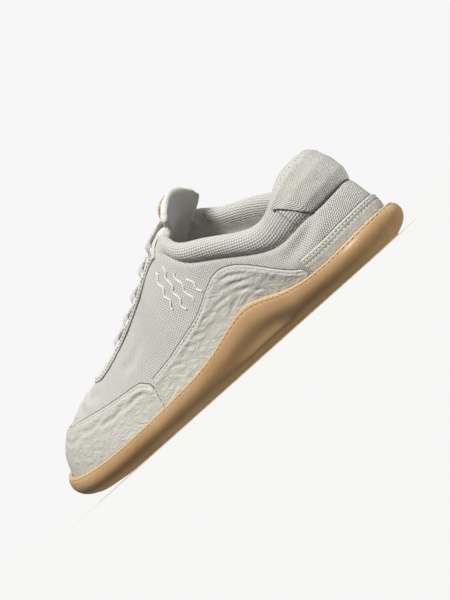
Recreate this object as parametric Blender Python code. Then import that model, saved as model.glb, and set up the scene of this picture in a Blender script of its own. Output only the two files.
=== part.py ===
"""A left barefoot shoe: gum cup sole, canvas upper with a padded collar, leather overlays.

+Y points to the toe, +Z is up, and the outer side of the foot is at -X. Everything is
worked out around one ring that runs heel, outer side, toe, inner side. A place on the
ring is counted in table rows: 0 at the heel, 17 at the toe, positive on the outer side
and negative on the inner side.
"""
import bpy
import numpy as np

# Driving sizes in metres
LENGTH = 0.290
BALL_WIDTH = 0.102
COLLAR_WIDTH = 0.062
THROAT_WIDTH = 0.028
HEEL_HEIGHT = 0.072
INSTEP_HEIGHT = 0.0847
RIM_HEIGHT = 0.026
SOLE_FLOOR = 0.0045
TREAD_MARGIN = 0.013
CUP_WALL = 0.0022
TOE_SPRING = 0.007
HEEL_BEVEL = 0.002
ARCH_LIFT = 0.0035
WALL = 0.002
OVERLAY = 0.0011
GAP = 0.00035
SEAT = 0.0005
BULGE = 0.004
ROLL_DEPTH = 0.020
ROLL_THICKNESS = 0.010
RIM_TUCK = 0.002
INSOLE = 0.003
TONGUE = 0.004
TONGUE_TUCK = 0.007
TONGUE_CROWN = 0.0045
TONGUE_WIDTH = 0.040
LABEL = 0.001
EYESTAY_WIDTH = 0.0125
EYESTAY_EDGE = 0.0008
LACE_WIDTH = 0.009
LACE_THICKNESS = 0.0024
LACE_REACH = 0.0075
LACE_CROWN = 0.0025

# Where the underside leaves the floor, as shares of LENGTH
SPRING_START = 0.72
BEVEL_END = 0.07
ARCH_RISE = (0.20, 0.38)
ARCH_FALL = (0.42, 0.60)
# Where the arch's lift starts and is full across the sole, as shares of BALL_WIDTH
ARCH_SIDE = (0.02, 0.33)

# Counts of the mesh
STATIONS = 88
RUNG_COLUMNS = 6
WALL_LEVELS = 8
OVERLAY_COLUMNS = 6
EYESTAY_ROWS = 43
FOXING_ROWS = 21
OVERLAY_PITCH = 0.4
SKIN_STEPS = 41
SLOPE_STEP = 0.01

# Outline of the sole at its widest line, and the height of its rim.
# along: share of LENGTH; outer, inner: share of BALL_WIDTH; rims: share of RIM_HEIGHT
OUTLINE = (
    # along, outer, inner, outer_rim, inner_rim
    (0.000, 0.072, -0.072, 0.62, 0.62),
    (0.012, 0.193, 0.038, 0.62, 0.60),
    (0.045, 0.307, 0.147, 0.60, 0.55),
    (0.100, 0.377, 0.275, 0.57, 0.51),
    (0.175, 0.394, 0.350, 0.60, 0.50),
    (0.250, 0.386, 0.354, 0.78, 0.66),
    (0.320, 0.392, 0.338, 1.00, 0.92),
    (0.395, 0.436, 0.322, 0.82, 0.86),
    (0.465, 0.480, 0.318, 0.65, 0.68),
    (0.535, 0.506, 0.326, 0.59, 0.60),
    (0.605, 0.521, 0.356, 0.56, 0.56),
    (0.675, 0.526, 0.408, 0.55, 0.55),
    (0.745, 0.512, 0.457, 0.55, 0.55),
    (0.815, 0.464, 0.477, 0.56, 0.56),
    (0.880, 0.400, 0.458, 0.58, 0.58),
    (0.940, 0.286, 0.388, 0.62, 0.62),
    (0.983, 0.126, 0.252, 0.66, 0.66),
    (1.000, -0.064, 0.064, 0.68, 0.68),
)

# Edge of the collar and the throat, row by row beside the outline.
# along: share of LENGTH; shift: share of BALL_WIDTH towards the inner side
# collar, throat: share of COLLAR_WIDTH and THROAT_WIDTH out from the middle
# heel_up, instep_up: share of HEEL_HEIGHT and INSTEP_HEIGHT
EDGE = (
    # along, shift, collar, throat, heel_up, instep_up
    (0.076, -0.102, 0.000, 0.000, 0.925, 0.000),
    (0.081, -0.106, 0.125, 0.000, 0.920, 0.000),
    (0.098, -0.104, 0.258, 0.000, 0.890, 0.000),
    (0.132, -0.073, 0.365, 0.000, 0.810, 0.000),
    (0.185, -0.032, 0.440, 0.000, 0.745, 0.000),
    (0.246, -0.012, 0.483, 0.000, 0.400, 0.361),
    (0.310, -0.014, 0.462, 0.000, 0.000, 0.811),
    (0.366, -0.022, 0.380, 0.000, 0.000, 0.905),
    (0.400, -0.025, 0.000, 0.520, 0.000, 1.000),
    (0.474, -0.028, 0.000, 0.430, 0.000, 0.902),
    (0.552, -0.022, 0.000, 0.380, 0.000, 0.784),
    (0.628, -0.020, 0.000, 0.350, 0.000, 0.691),
    (0.697, -0.018, 0.000, 0.310, 0.000, 0.633),
    (0.728, -0.020, 0.000, 0.262, 0.000, 0.619),
    (0.743, -0.016, 0.000, 0.185, 0.000, 0.611),
    (0.750, -0.014, 0.000, 0.115, 0.000, 0.606),
    (0.753, -0.012, 0.000, 0.055, 0.000, 0.604),
    (0.754, -0.012, 0.000, 0.000, 0.000, 0.603),
)

# Section of the upper between its foot in the cup and its edge, row by row.
# wall and crown: the two inner points of a cubic curve, as shares in and up
# bulge: share of BULGE; roll: share of ROLL_DEPTH; padding: 1 padded, 0 plain
SECTION = (
    # wall_in, wall_up, crown_in, crown_up, bulge, roll, padding
    (0.06, 0.35, 0.58, 0.72, 0.50, 1.45, 1.00),
    (0.06, 0.35, 0.58, 0.72, 0.50, 1.45, 1.00),
    (0.06, 0.35, 0.56, 0.72, 0.60, 1.36, 1.00),
    (0.03, 0.35, 0.47, 0.72, 0.65, 1.08, 1.00),
    (0.00, 0.36, 0.40, 0.72, 0.60, 0.83, 1.00),
    (0.00, 0.36, 0.40, 0.76, 0.40, 0.70, 1.00),
    (0.00, 0.36, 0.40, 0.82, 0.20, 0.63, 1.00),
    (0.02, 0.36, 0.42, 0.89, 0.05, 0.55, 0.85),
    (0.05, 0.35, 0.45, 0.955, 0.00, 0.58, 0.00),
    (0.03, 0.35, 0.44, 0.97, 0.00, 0.60, 0.00),
    (0.03, 0.36, 0.44, 0.975, 0.00, 0.50, 0.00),
    (0.04, 0.38, 0.44, 0.975, 0.00, 0.45, 0.00),
    (0.02, 0.42, 0.41, 0.96, 0.00, 0.40, 0.00),
    (-0.02, 0.46, 0.32, 0.94, 0.00, 0.38, 0.00),
    (-0.05, 0.50, 0.27, 0.93, 0.00, 0.36, 0.00),
    (-0.07, 0.52, 0.24, 0.92, 0.00, 0.35, 0.00),
    (-0.07, 0.53, 0.23, 0.92, 0.00, 0.35, 0.00),
    (-0.07, 0.53, 0.23, 0.92, 0.00, 0.35, 0.00),
)

# Side of the sole, from the border of the tread up to the lip and down into the cup.
# inset: share of TREAD_MARGIN; up: share of the rim; scoop: extra inset under the wave
SOLE_SIDE = (
    # inset, up, scoop
    (1.00, 0.00, 0.00),
    (0.68, 0.04, 0.00),
    (0.36, 0.14, -0.08),
    (0.12, 0.33, 0.12),
    (0.00, 0.58, 0.02),
    (0.04, 0.80, 0.00),
    (0.10, 0.90, 0.00),
    (0.17, 0.91, 0.00),
    (0.19, 1.00, 0.00),
)
LIP = 0.19

# Rim of the upper, from the crease under the roll over the top and down inside.
# depth: share of the roll; padded: share of ROLL_THICKNESS out; plain: share of WALL out
ROLL = (
    # depth, padded, plain
    (1.00, -0.08, 0.00),
    (0.80, 0.25, 0.00),
    (0.50, 0.40, 0.00),
    (0.22, 0.34, 0.00),
    (0.05, 0.12, 0.00),
    (0.00, -0.08, -0.50),
    (0.05, -0.30, -1.00),
    (0.22, -0.50, -1.00),
    (0.50, -0.58, -1.00),
    (0.85, -0.48, -1.00),
    (1.25, -0.28, -1.00),
)
ROLL_OUTER = 5
PAST_ROLL = 1.30

# Overlays, by row of the ring: high is their top, a share of the way up the upper's skin
SADDLE = (
    # row, high
    (3.86, 0.285),
    (4.20, 0.402),
    (4.60, 0.530),
    (5.00, 0.632),
    (5.35, 0.685),
    (5.75, 0.706),
    (6.10, 0.692),
    (6.50, 0.620),
    (6.95, 0.503),
    (7.45, 0.400),
    (8.00, 0.345),
    (8.70, 0.320),
    (9.66, 0.328),
)
TOE = (
    # row, high
    (9.76, 0.27),
    (9.96, 0.37),
    (10.40, 0.405),
    (11.00, 0.445),
    (11.80, 0.50),
    (12.60, 0.53),
    (13.40, 0.525),
    (14.40, 0.50),
    (15.40, 0.48),
    (16.30, 0.47),
    (17.00, 0.47),
)
FOXING_HIGH = 0.0092
FOXING_END = 3.76
TAB_STATIONS = 8
EYESTAY_TOP = 8.06
EYESTAY_TOE = 0.62
EYESTAY_NARROWS = (12.2, 14.0)

# Tongue: rows of the ring that it follows under the throat, and its free top.
# tuck: share of TONGUE_TUCK under the edges of the throat
TONGUE_FOOT = (
    # row, tuck
    (12.9, 0.30),
    (12.3, 0.75),
    (11.6, 0.90),
    (10.8, 1.00),
    (10.0, 1.00),
    (9.3, 0.90),
    (8.75, 0.60),
    (8.35, 0.25),
)
# along: share of LENGTH; up: share of INSTEP_HEIGHT; half: share of TONGUE_WIDTH
# droop: how far its edges hang, share of TONGUE_CROWN
TONGUE_TOP = (
    # along, up, half, droop
    (0.390, 1.050, 0.330, 1.00),
    (0.379, 1.090, 0.400, 1.20),
    (0.371, 1.130, 0.460, 1.30),
    (0.366, 1.165, 0.400, 1.20),
)
LACE_ROWS = (8.30, 9.00, 9.75, 10.45, 11.15)
# Thickness of a lace over its edge, middle and edge, and its rows on either side
LACE_SECTION = (0.6, 1.0, 0.6)
LACE_STEP = 0.05

# The sole's rim, share of RIM_HEIGHT, over which its side starts to hollow
WAVE_START = 0.62
SHARP_ANGLE = 50.0

CANVAS = (0.70, 0.69, 0.65)
LEATHER = (0.72, 0.71, 0.67)
GUM = (0.58, 0.37, 0.19)
LABEL_TAN = (0.55, 0.40, 0.25)
CLOTH_ROUGHNESS = 0.9
LEATHER_ROUGHNESS = 0.6
RUBBER_ROUGHNESS = 0.55


def spline(rows, where):
    """A smooth closed curve through the rows; where counts rows and wraps around."""
    rows = np.asarray(rows, float)
    count = len(rows)
    ahead = np.roll(rows, -1, axis=0)
    system = 4.0 * np.eye(count) + np.roll(np.eye(count), 1, axis=1) + np.roll(np.eye(count), -1, axis=1)
    slope = np.linalg.solve(system, 3.0 * (ahead - np.roll(rows, 1, axis=0)))
    where = np.asarray(where, float) % count
    first = np.floor(where).astype(int) % count
    t = (where - np.floor(where))[..., None]
    second = (first + 1) % count
    return ((2 * t**3 - 3 * t**2 + 1) * rows[first] + (t**3 - 2 * t**2 + t) * slope[first]
            + (3 * t**2 - 2 * t**3) * rows[second] + (t**3 - t**2) * slope[second])


def ring(outer, inner):
    """Rows around the shoe: heel, outer side, toe, inner side."""
    return np.array(list(outer) + list(inner)[-2:0:-1], float)


def outline_ring():
    outer = [(-BALL_WIDTH * r[1], LENGTH * r[0], RIM_HEIGHT * r[3]) for r in OUTLINE]
    inner = [(BALL_WIDTH * r[2], LENGTH * r[0], RIM_HEIGHT * r[4]) for r in OUTLINE]
    return ring(outer, inner)


def edge_ring():
    sides = []
    for sign in (-1.0, 1.0):
        sides.append([(BALL_WIDTH * r[1] + sign * (COLLAR_WIDTH * r[2] + THROAT_WIDTH * r[3]),
                       LENGTH * r[0], HEEL_HEIGHT * r[4] + INSTEP_HEIGHT * r[5]) for r in EDGE])
    return ring(*sides)


TURN = 2 * (len(OUTLINE) - 1)
PLACES = np.arange(STATIONS) * TURN / STATIONS
OUTLINE_RING = outline_ring()
SAMPLED = spline(OUTLINE_RING, PLACES)
MIDDLE = np.append((SAMPLED[:, :2].min(axis=0) + SAMPLED[:, :2].max(axis=0)) / 2, 0.0)
OUTLINE_RING = OUTLINE_RING - MIDDLE
EDGE_RING = edge_ring() - MIDDLE
SECTION_RING = ring(SECTION, SECTION)


def smooth(low, high, value):
    share = np.clip((value - low) / (high - low), 0.0, 1.0)
    return share * share * (3.0 - 2.0 * share)


def spring(y):
    """How far the toe lifts off the floor at a place along the shoe."""
    along = y / LENGTH + 0.5
    return TOE_SPRING * np.clip((along - SPRING_START) / (1.0 - SPRING_START), 0.0, 1.0) ** 2


def ground(x, y):
    """Underside of the sole: toe spring, heel bevel and the lift under the arch."""
    along = y / LENGTH + 0.5
    heel = HEEL_BEVEL * np.clip((BEVEL_END - along) / BEVEL_END, 0.0, 1.0) ** 2
    arch = smooth(*ARCH_RISE, along) * (1.0 - smooth(*ARCH_FALL, along))
    inner = smooth(*ARCH_SIDE, (x + MIDDLE[0]) / BALL_WIDTH)
    return spring(y) + heel + ARCH_LIFT * arch * inner


def outline(where, inset):
    """Points of the sole's outline moved in by inset, with the height of the rim."""
    where = np.asarray(where, float)
    here = spline(OUTLINE_RING, where)
    along = spline(OUTLINE_RING, where + SLOPE_STEP) - spline(OUTLINE_RING, where - SLOPE_STEP)
    out = np.stack([-along[..., 1], along[..., 0]], axis=-1)
    out /= np.linalg.norm(out, axis=-1, keepdims=True)
    plan = here[..., :2] - out * np.asarray(inset)[..., None]
    return plan, here[..., 2], out


CUP_INSET = LIP * TREAD_MARGIN + CUP_WALL
UPPER_INSET = CUP_INSET + SEAT + OVERLAY + GAP
INSOLE_INSET = UPPER_INSET + WALL + 2 * GAP


# Brings the peak of x * (1 - x)**2 to 1
SWELL_PEAK = 27.0 / 4.0


def skin_base(where, t):
    """The upper's outer skin before its padding, at a place on the ring and t up."""
    where, t = np.broadcast_arrays(np.asarray(where, float), np.asarray(t, float))
    foot, rim, out = outline(where, UPPER_INSET)
    low = SOLE_FLOOR + GAP + ground(foot[..., 0], foot[..., 1])
    edge = spline(EDGE_RING, where)
    lip = (rim + spring(foot[..., 1]) - low) / (edge[..., 2] - low)
    wall_in, wall_up, crown_in, crown_up, bulge = np.moveaxis(spline(SECTION_RING, where), -1, 0)[:5]
    inward = 3 * t * (1 - t)**2 * wall_in + 3 * t**2 * (1 - t) * crown_in + t**3
    upward = 3 * t * (1 - t)**2 * wall_up + 3 * t**2 * (1 - t) * crown_up + t**3
    above = np.clip((upward - lip) / (1.0 - lip), 0.0, 1.0)
    swell = BULGE * np.clip(bulge, 0.0, 1.0) * SWELL_PEAK * above * (1 - above)**2
    plan = foot + (edge[..., :2] - foot) * inward[..., None] + out * swell[..., None]
    height = low + (edge[..., 2] - low) * upward
    return np.concatenate([plan, height[..., None]], axis=-1)


STEPS = np.linspace(0.0, 1.0, SKIN_STEPS)


def skin_length(where):
    """Length of the skin from the cup to the edge, and the way along it at each step."""
    points = skin_base(np.asarray(where, float)[..., None], STEPS)
    way = np.cumsum(np.linalg.norm(np.diff(points, axis=-2), axis=-1), axis=-1)
    way = np.concatenate([np.zeros_like(way[..., :1]), way], axis=-1)
    return way[..., -1], way


def skin(where, share, offset=0.0):
    """A point at a share of the way up the skin, moved out by offset."""
    where, share, offset = np.broadcast_arrays(
        np.asarray(where, float), np.asarray(share, float), np.asarray(offset, float))
    flat_where, flat_share = where.ravel(), share.ravel()
    total, way = skin_length(flat_where)
    t = [np.interp(s * n, w, STEPS) for s, n, w in zip(flat_share, total, way)]
    t = np.reshape(t, where.shape)
    here = skin_base(where, t)
    around = skin_base(where + SLOPE_STEP, t) - skin_base(where - SLOPE_STEP, t)
    upward = skin_base(where, t + SLOPE_STEP) - skin_base(where, t - SLOPE_STEP)
    normal = np.cross(upward, around)
    normal /= np.linalg.norm(normal, axis=-1, keepdims=True)
    return here + normal * offset[..., None]


def roll_depth(where):
    return ROLL_DEPTH * spline(SECTION_RING, where)[..., 5]


def padding(where):
    return np.clip(spline(SECTION_RING, where)[..., 6], 0.0, 1.0)


def at_depth(where, depth):
    """Share of the way up the skin at a distance below its edge."""
    return 1.0 - depth / skin_length(where)[0]


def at_rim(where, extra=0.0):
    """Share of the way up the skin where it passes the sole's rim."""
    where = np.asarray(where, float)
    _, rim, _ = outline(where, 0.0)
    points = skin(where[..., None], STEPS)
    wanted = rim + spring(points[..., 0, 1]) + extra
    heights = np.maximum.accumulate(points[..., 2], axis=-1).reshape(-1, SKIN_STEPS)
    shares = [np.interp(w, h, STEPS) for w, h in zip(wanted.ravel(), heights)]
    return np.reshape(shares, where.shape)


def padded_offset(where, share):
    """How far the padded roll stands out of the skin."""
    depth = (1.0 - share) * skin_length(where)[0] / roll_depth(where)
    rows = np.array(ROLL[ROLL_OUTER::-1] + ((PAST_ROLL, 0.0, 0.0),))
    return padding(where) * ROLL_THICKNESS * np.interp(depth, rows[:, 0], rows[:, 1])


def material(name, colour, roughness):
    made = bpy.data.materials.new(name)
    made.use_nodes = True
    shader = made.node_tree.nodes["Principled BSDF"]
    shader.inputs["Base Color"].default_value = (*colour, 1.0)
    shader.inputs["Roughness"].default_value = roughness
    shader.inputs["Metallic"].default_value = 0.0
    return made


def build(name, points, faces, colour, roughness):
    """One closed mesh with its faces turned outward."""
    mesh = bpy.data.meshes.new(name)
    mesh.from_pydata([tuple(p) for p in points], [], [tuple(int(i) for i in f) for f in faces])
    mesh.validate()
    volume = 0.0
    for polygon in mesh.polygons:
        corners = [mesh.vertices[i].co for i in polygon.vertices]
        for second, third in zip(corners[1:], corners[2:]):
            volume += corners[0].dot(second.cross(third))
    if volume < 0.0:
        mesh.flip_normals()
    mesh.shade_smooth()
    mesh.set_sharp_from_angle(angle=np.radians(SHARP_ANGLE))
    mesh.materials.append(material(name, colour, roughness))
    made = bpy.data.objects.new(name, mesh)
    bpy.context.collection.objects.link(made)
    return made


def strip_faces(first, second, closed):
    """Quads between two rows of point numbers."""
    count = len(first)
    last = count if closed else count - 1
    return [(first[i], first[(i + 1) % count], second[(i + 1) % count], second[i]) for i in range(last)]


def sheet(name, outer, inner, colour, roughness):
    """A closed solid between two grids of points that face each other."""
    rows, columns = outer.shape[:2]
    number = np.arange(rows * columns).reshape(rows, columns)
    other = number + rows * columns
    faces = []
    for i in range(rows - 1):
        faces += strip_faces(number[i], number[i + 1], False)
        faces += strip_faces(other[i + 1], other[i], False)
    border = np.concatenate([number[0], number[1:, -1], number[-1, -2::-1], number[-2:0:-1, 0]])
    faces += strip_faces(border + rows * columns, border, True)
    points = np.concatenate([outer.reshape(-1, 3), inner.reshape(-1, 3)])
    return build(name, points, faces, colour, roughness)


def close_ring(points, faces, numbers, height):
    """Fill a ring of stations with rungs across the shoe at the heights of a function."""
    half = len(numbers) // 2
    rungs = []
    for i in range(1, half):
        left, right = points[numbers[i]], points[numbers[-i]]
        rung = [numbers[i]]
        for column in range(1, RUNG_COLUMNS):
            x, y = left[:2] + (right[:2] - left[:2]) * column / RUNG_COLUMNS
            rung.append(len(points))
            points.append(np.array([x, y, height(x, y)]))
        rungs.append(rung + [numbers[-i]])
    for first, second in zip(rungs, rungs[1:]):
        faces += strip_faces(first, second, False)
    for tip, rung in ((numbers[0], rungs[0][::-1]), (numbers[half], rungs[-1])):
        faces += [(tip, a, b) for a, b in zip(rung, rung[1:])]


def turned(numbers):
    """The same ring from the heel the other way round, for a face that looks up."""
    return numbers[:1] + numbers[:0:-1]


def add_loop(points, loop):
    numbers = list(range(len(points), len(points) + len(loop)))
    points += list(loop)
    return numbers


def wave(rim):
    """0 where the rim is low, 1 at the top of its wave."""
    return smooth(WAVE_START, 1.0, rim / RIM_HEIGHT)


def sole_loop(row):
    inset, up, scoop = row
    _, rim, _ = outline(PLACES, 0.0)
    plan, _, _ = outline(PLACES, TREAD_MARGIN * (inset + scoop * wave(rim)))
    base = ground(plan[:, 0], plan[:, 1])
    height = base + (rim + spring(plan[:, 1]) - base) * up
    return np.column_stack([plan, height])


def cup_loop(top):
    plan, rim, _ = outline(PLACES, CUP_INSET)
    if top:
        return np.column_stack([plan, rim + spring(plan[:, 1])])
    return np.column_stack([plan, cup_floor(plan[:, 0], plan[:, 1])])


def cup_floor(x, y):
    return SOLE_FLOOR + ground(x, y)


def make_outsole():
    points, faces = [], []
    loops = [add_loop(points, sole_loop(row)) for row in SOLE_SIDE]
    loops += [add_loop(points, cup_loop(True)), add_loop(points, cup_loop(False))]
    for first, second in zip(loops, loops[1:]):
        faces += strip_faces(first, second, True)
    close_ring(points, faces, loops[0], ground)
    close_ring(points, faces, turned(loops[-1]), cup_floor)
    build("outsole", points, faces, GUM, RUBBER_ROUGHNESS)


def make_insole():
    points, faces = [], []
    plan, _, _ = outline(PLACES, INSOLE_INSET)
    low = cup_floor(plan[:, 0], plan[:, 1]) + GAP
    bottom = add_loop(points, np.column_stack([plan, low]))
    top = add_loop(points, np.column_stack([plan, low + INSOLE]))
    faces += strip_faces(bottom, top, True)
    close_ring(points, faces, bottom, lambda x, y: cup_floor(x, y) + GAP)
    close_ring(points, faces, turned(top), lambda x, y: cup_floor(x, y) + GAP + INSOLE)
    build("insole", points, faces, CANVAS, CLOTH_ROUGHNESS)


def make_upper():
    """One hollow solid: outer skin, padded roll over the collar, inner skin."""
    total, _ = skin_length(PLACES)
    roll, padded = roll_depth(PLACES), padding(PLACES)
    loops = []
    for level in range(WALL_LEVELS):
        top = 1.0 - roll * ROLL[0][0] / total
        loops.append(skin(PLACES, top * level / WALL_LEVELS))
    for depth, thick, plain in ROLL:
        offset = padded * thick * ROLL_THICKNESS + (1 - padded) * plain * WALL
        loops.append(skin(PLACES, 1.0 - roll * depth / total, offset))
    for level in range(WALL_LEVELS - 1, -1, -1):
        top = 1.0 - roll * ROLL[-1][0] / total
        loops.append(skin(PLACES, top * level / WALL_LEVELS, -WALL))
    points, faces = [], []
    numbers = [add_loop(points, loop) for loop in loops]
    for first, second in zip(numbers, numbers[1:] + numbers[:1]):
        faces += strip_faces(first, second, True)
    build("upper", points, faces, CANVAS, CLOTH_ROUGHNESS)


def overlay(name, rows, shares):
    """A leather piece over the skin, at a grid of shares of the way up for its rows."""
    where = np.broadcast_to(np.asarray(rows, float)[:, None], shares.shape)
    stand = padded_offset(where, shares) + GAP
    sheet(name, skin(where, shares, stand + OVERLAY), skin(where, shares, stand), LEATHER,
          LEATHER_ROUGHNESS)


def levels(low, high, columns):
    """Even steps from one share to another, for each row."""
    low, high = np.asarray(low), np.asarray(high)
    return low[:, None] + (high - low)[:, None] * np.linspace(0.0, 1.0, columns)


def between(table):
    """Rows a pitch apart through a table, with the value at each."""
    keys = np.array([r[0] for r in table])
    values = np.array([r[1] for r in table])
    rows = np.linspace(keys[0], keys[-1], int(np.ceil((keys[-1] - keys[0]) / OVERLAY_PITCH)) + 1)
    return rows, np.interp(rows, keys, values)


def make_overlays():
    rows, high = between(SADDLE)
    overlay("saddle_outer", rows, levels(at_rim(rows, -RIM_TUCK), high, OVERLAY_COLUMNS))
    overlay("saddle_inner", -rows, levels(at_rim(-rows, -RIM_TUCK), high, OVERLAY_COLUMNS))
    rows, high = between(TOE)
    rows, high = np.append(rows, (TURN - rows)[-2::-1]), np.append(high, high[-2::-1])
    overlay("toe_overlay", rows, levels(at_rim(rows, -RIM_TUCK), high, OVERLAY_COLUMNS))
    rows = np.linspace(-FOXING_END, FOXING_END, FOXING_ROWS)
    overlay("heel_foxing", rows, levels(at_rim(rows, -RIM_TUCK), at_rim(rows, FOXING_HIGH), 3))
    rows = np.arange(-TAB_STATIONS, TAB_STATIONS + 1) * TURN / STATIONS
    depths = np.array([row[0] for row in ROLL[:ROLL_OUTER]]) * roll_depth(rows)[:, None]
    overlay("heel_tab", rows, 1.0 - depths / skin_length(rows)[0][:, None])


def make_eyestay():
    """The strip that carries the eyelets, down one side of the throat and up the other."""
    rows = np.linspace(EYESTAY_TOP, TURN - EYESTAY_TOP, EYESTAY_ROWS)
    narrow = smooth(*EYESTAY_NARROWS, np.minimum(rows, TURN - rows))
    width = EYESTAY_WIDTH * (1.0 + (EYESTAY_TOE - 1.0) * narrow)
    overlay("eyestay", rows, levels(at_depth(rows, EYESTAY_EDGE + width), at_depth(rows, EYESTAY_EDGE), 4))


def across(row, reach, offset, crown):
    """Points from the outer eyestay over the throat to the inner one."""
    depths = np.array([1.0, 0.5, 0.0]) * reach
    outer = skin(row, at_depth(np.full(3, row), depths), offset)
    inner = skin(-row, at_depth(np.full(3, -row), depths), offset)[::-1]
    middle = []
    for share in (0.25, 0.5, 0.75):
        point = outer[-1] + (inner[0] - outer[-1]) * share
        middle.append(point + np.array([0.0, 0.0, crown * 4 * share * (1 - share)]))
    return np.concatenate([outer, middle, inner])


def offset_grid(grid, distance):
    """The grid moved along its own normals."""
    down = np.gradient(grid, axis=0)
    side = np.gradient(grid, axis=1)
    normal = np.cross(down, side)
    normal /= np.linalg.norm(normal, axis=-1, keepdims=True)
    return grid + normal * distance


def tongue_grid():
    rows = [across(row, tuck * TONGUE_TUCK, -(WALL + 2 * GAP), TONGUE_CROWN) for row, tuck in TONGUE_FOOT]
    shift = BALL_WIDTH * EDGE[7][1] - MIDDLE[0]
    for along, up, half, droop in TONGUE_TOP:
        side = np.linspace(-1.0, 1.0, rows[0].shape[0])
        x = shift + TONGUE_WIDTH * half * side
        z = INSTEP_HEIGHT * up - TONGUE_CROWN * droop * side**2
        y = np.full_like(x, LENGTH * along - MIDDLE[1])
        rows.append(np.column_stack([x, y, z]))
    return np.array(rows)


def make_tongue():
    grid = tongue_grid()
    sheet("tongue", grid, offset_grid(grid, -TONGUE), CANVAS, CLOTH_ROUGHNESS)
    patch = grid[-4:, 1:8]
    sheet("tongue_label", offset_grid(patch, GAP + LABEL), offset_grid(patch, GAP), LABEL_TAN,
          LEATHER_ROUGHNESS)


def make_laces():
    """Five flat bars over the throat, each held clear of the eyestay and the tongue."""
    base = GAP + OVERLAY + GAP
    for number, row in enumerate(LACE_ROWS, 1):
        near = np.array([row - LACE_STEP, row + LACE_STEP])
        ends = skin(near, at_depth(near, 0.0))
        half = LACE_WIDTH * LACE_STEP / np.linalg.norm(ends[1] - ends[0])
        rows = [row - half, row, row + half]
        low = np.array([across(r, LACE_REACH, base, LACE_CROWN) for r in rows])
        high = np.array([across(r, LACE_REACH, base + LACE_THICKNESS * thick, LACE_CROWN)
                         for r, thick in zip(rows, LACE_SECTION)])
        sheet("lace_bar_%d" % number, high, low, CANVAS, CLOTH_ROUGHNESS)


for old in list(bpy.data.objects):
    bpy.data.objects.remove(old, do_unlink=True)
make_outsole()
make_insole()
make_upper()
make_overlays()
make_eyestay()
make_tongue()
make_laces()
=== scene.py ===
"""Looks of the left barefoot shoe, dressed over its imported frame.

+Y points to the toe, +Z is up, and the outer side of the foot is at -X. The tables and
the functions of the form are those of the part's source, in metres. A place on the ring
round the shoe is counted in table rows: 0 at the heel, 17 at the toe, positive on the
outer side and negative on the inner side.
"""

import bpy
import numpy as np
from mathutils import Matrix, Vector


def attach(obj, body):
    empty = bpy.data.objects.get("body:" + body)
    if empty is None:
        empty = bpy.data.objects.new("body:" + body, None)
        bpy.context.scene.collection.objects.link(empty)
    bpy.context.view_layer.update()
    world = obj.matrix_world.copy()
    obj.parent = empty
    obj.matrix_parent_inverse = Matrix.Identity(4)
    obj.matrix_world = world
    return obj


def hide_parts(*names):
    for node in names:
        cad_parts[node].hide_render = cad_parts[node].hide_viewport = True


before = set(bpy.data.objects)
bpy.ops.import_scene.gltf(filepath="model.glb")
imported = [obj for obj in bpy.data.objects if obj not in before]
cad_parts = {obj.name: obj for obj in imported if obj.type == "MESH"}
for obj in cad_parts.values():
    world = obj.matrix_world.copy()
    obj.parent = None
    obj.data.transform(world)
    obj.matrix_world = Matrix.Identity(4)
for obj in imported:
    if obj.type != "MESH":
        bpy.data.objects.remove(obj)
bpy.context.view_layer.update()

# Driving sizes in metres
LENGTH = 0.290
BALL_WIDTH = 0.102
COLLAR_WIDTH = 0.062
THROAT_WIDTH = 0.028
HEEL_HEIGHT = 0.072
INSTEP_HEIGHT = 0.0847
RIM_HEIGHT = 0.026
SOLE_FLOOR = 0.0045
TREAD_MARGIN = 0.013
CUP_WALL = 0.0022
TOE_SPRING = 0.007
HEEL_BEVEL = 0.002
ARCH_LIFT = 0.0035
WALL = 0.002
OVERLAY = 0.0011
GAP = 0.00035
SEAT = 0.0005
BULGE = 0.004
ROLL_DEPTH = 0.020
ROLL_THICKNESS = 0.010
RIM_TUCK = 0.002
INSOLE = 0.003
TONGUE = 0.004
TONGUE_TUCK = 0.007
TONGUE_CROWN = 0.0045
TONGUE_WIDTH = 0.040
LABEL = 0.001
EYESTAY_WIDTH = 0.0125
EYESTAY_EDGE = 0.0008
LACE_WIDTH = 0.009
LACE_THICKNESS = 0.0024
LACE_REACH = 0.0075
LACE_CROWN = 0.0025

# Where the underside leaves the floor, as shares of LENGTH
SPRING_START = 0.72
BEVEL_END = 0.07
ARCH_RISE = (0.20, 0.38)
ARCH_FALL = (0.42, 0.60)
# Where the arch's lift starts and is full across the sole, as shares of BALL_WIDTH
ARCH_SIDE = (0.02, 0.33)

# Stations round the source's mesh, steps up its skin, and the step that slopes are taken over
STATIONS = 88
SKIN_STEPS = 41
SLOPE_STEP = 0.01

# Outline of the sole at its widest line, and the height of its rim.
# along: share of LENGTH; outer, inner: share of BALL_WIDTH; rims: share of RIM_HEIGHT
OUTLINE = (
    # along, outer, inner, outer_rim, inner_rim
    (0.000, 0.072, -0.072, 0.62, 0.62),
    (0.012, 0.193, 0.038, 0.62, 0.60),
    (0.045, 0.307, 0.147, 0.60, 0.55),
    (0.100, 0.377, 0.275, 0.57, 0.51),
    (0.175, 0.394, 0.350, 0.60, 0.50),
    (0.250, 0.386, 0.354, 0.78, 0.66),
    (0.320, 0.392, 0.338, 1.00, 0.92),
    (0.395, 0.436, 0.322, 0.82, 0.86),
    (0.465, 0.480, 0.318, 0.65, 0.68),
    (0.535, 0.506, 0.326, 0.59, 0.60),
    (0.605, 0.521, 0.356, 0.56, 0.56),
    (0.675, 0.526, 0.408, 0.55, 0.55),
    (0.745, 0.512, 0.457, 0.55, 0.55),
    (0.815, 0.464, 0.477, 0.56, 0.56),
    (0.880, 0.400, 0.458, 0.58, 0.58),
    (0.940, 0.286, 0.388, 0.62, 0.62),
    (0.983, 0.126, 0.252, 0.66, 0.66),
    (1.000, -0.064, 0.064, 0.68, 0.68),
)

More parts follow.
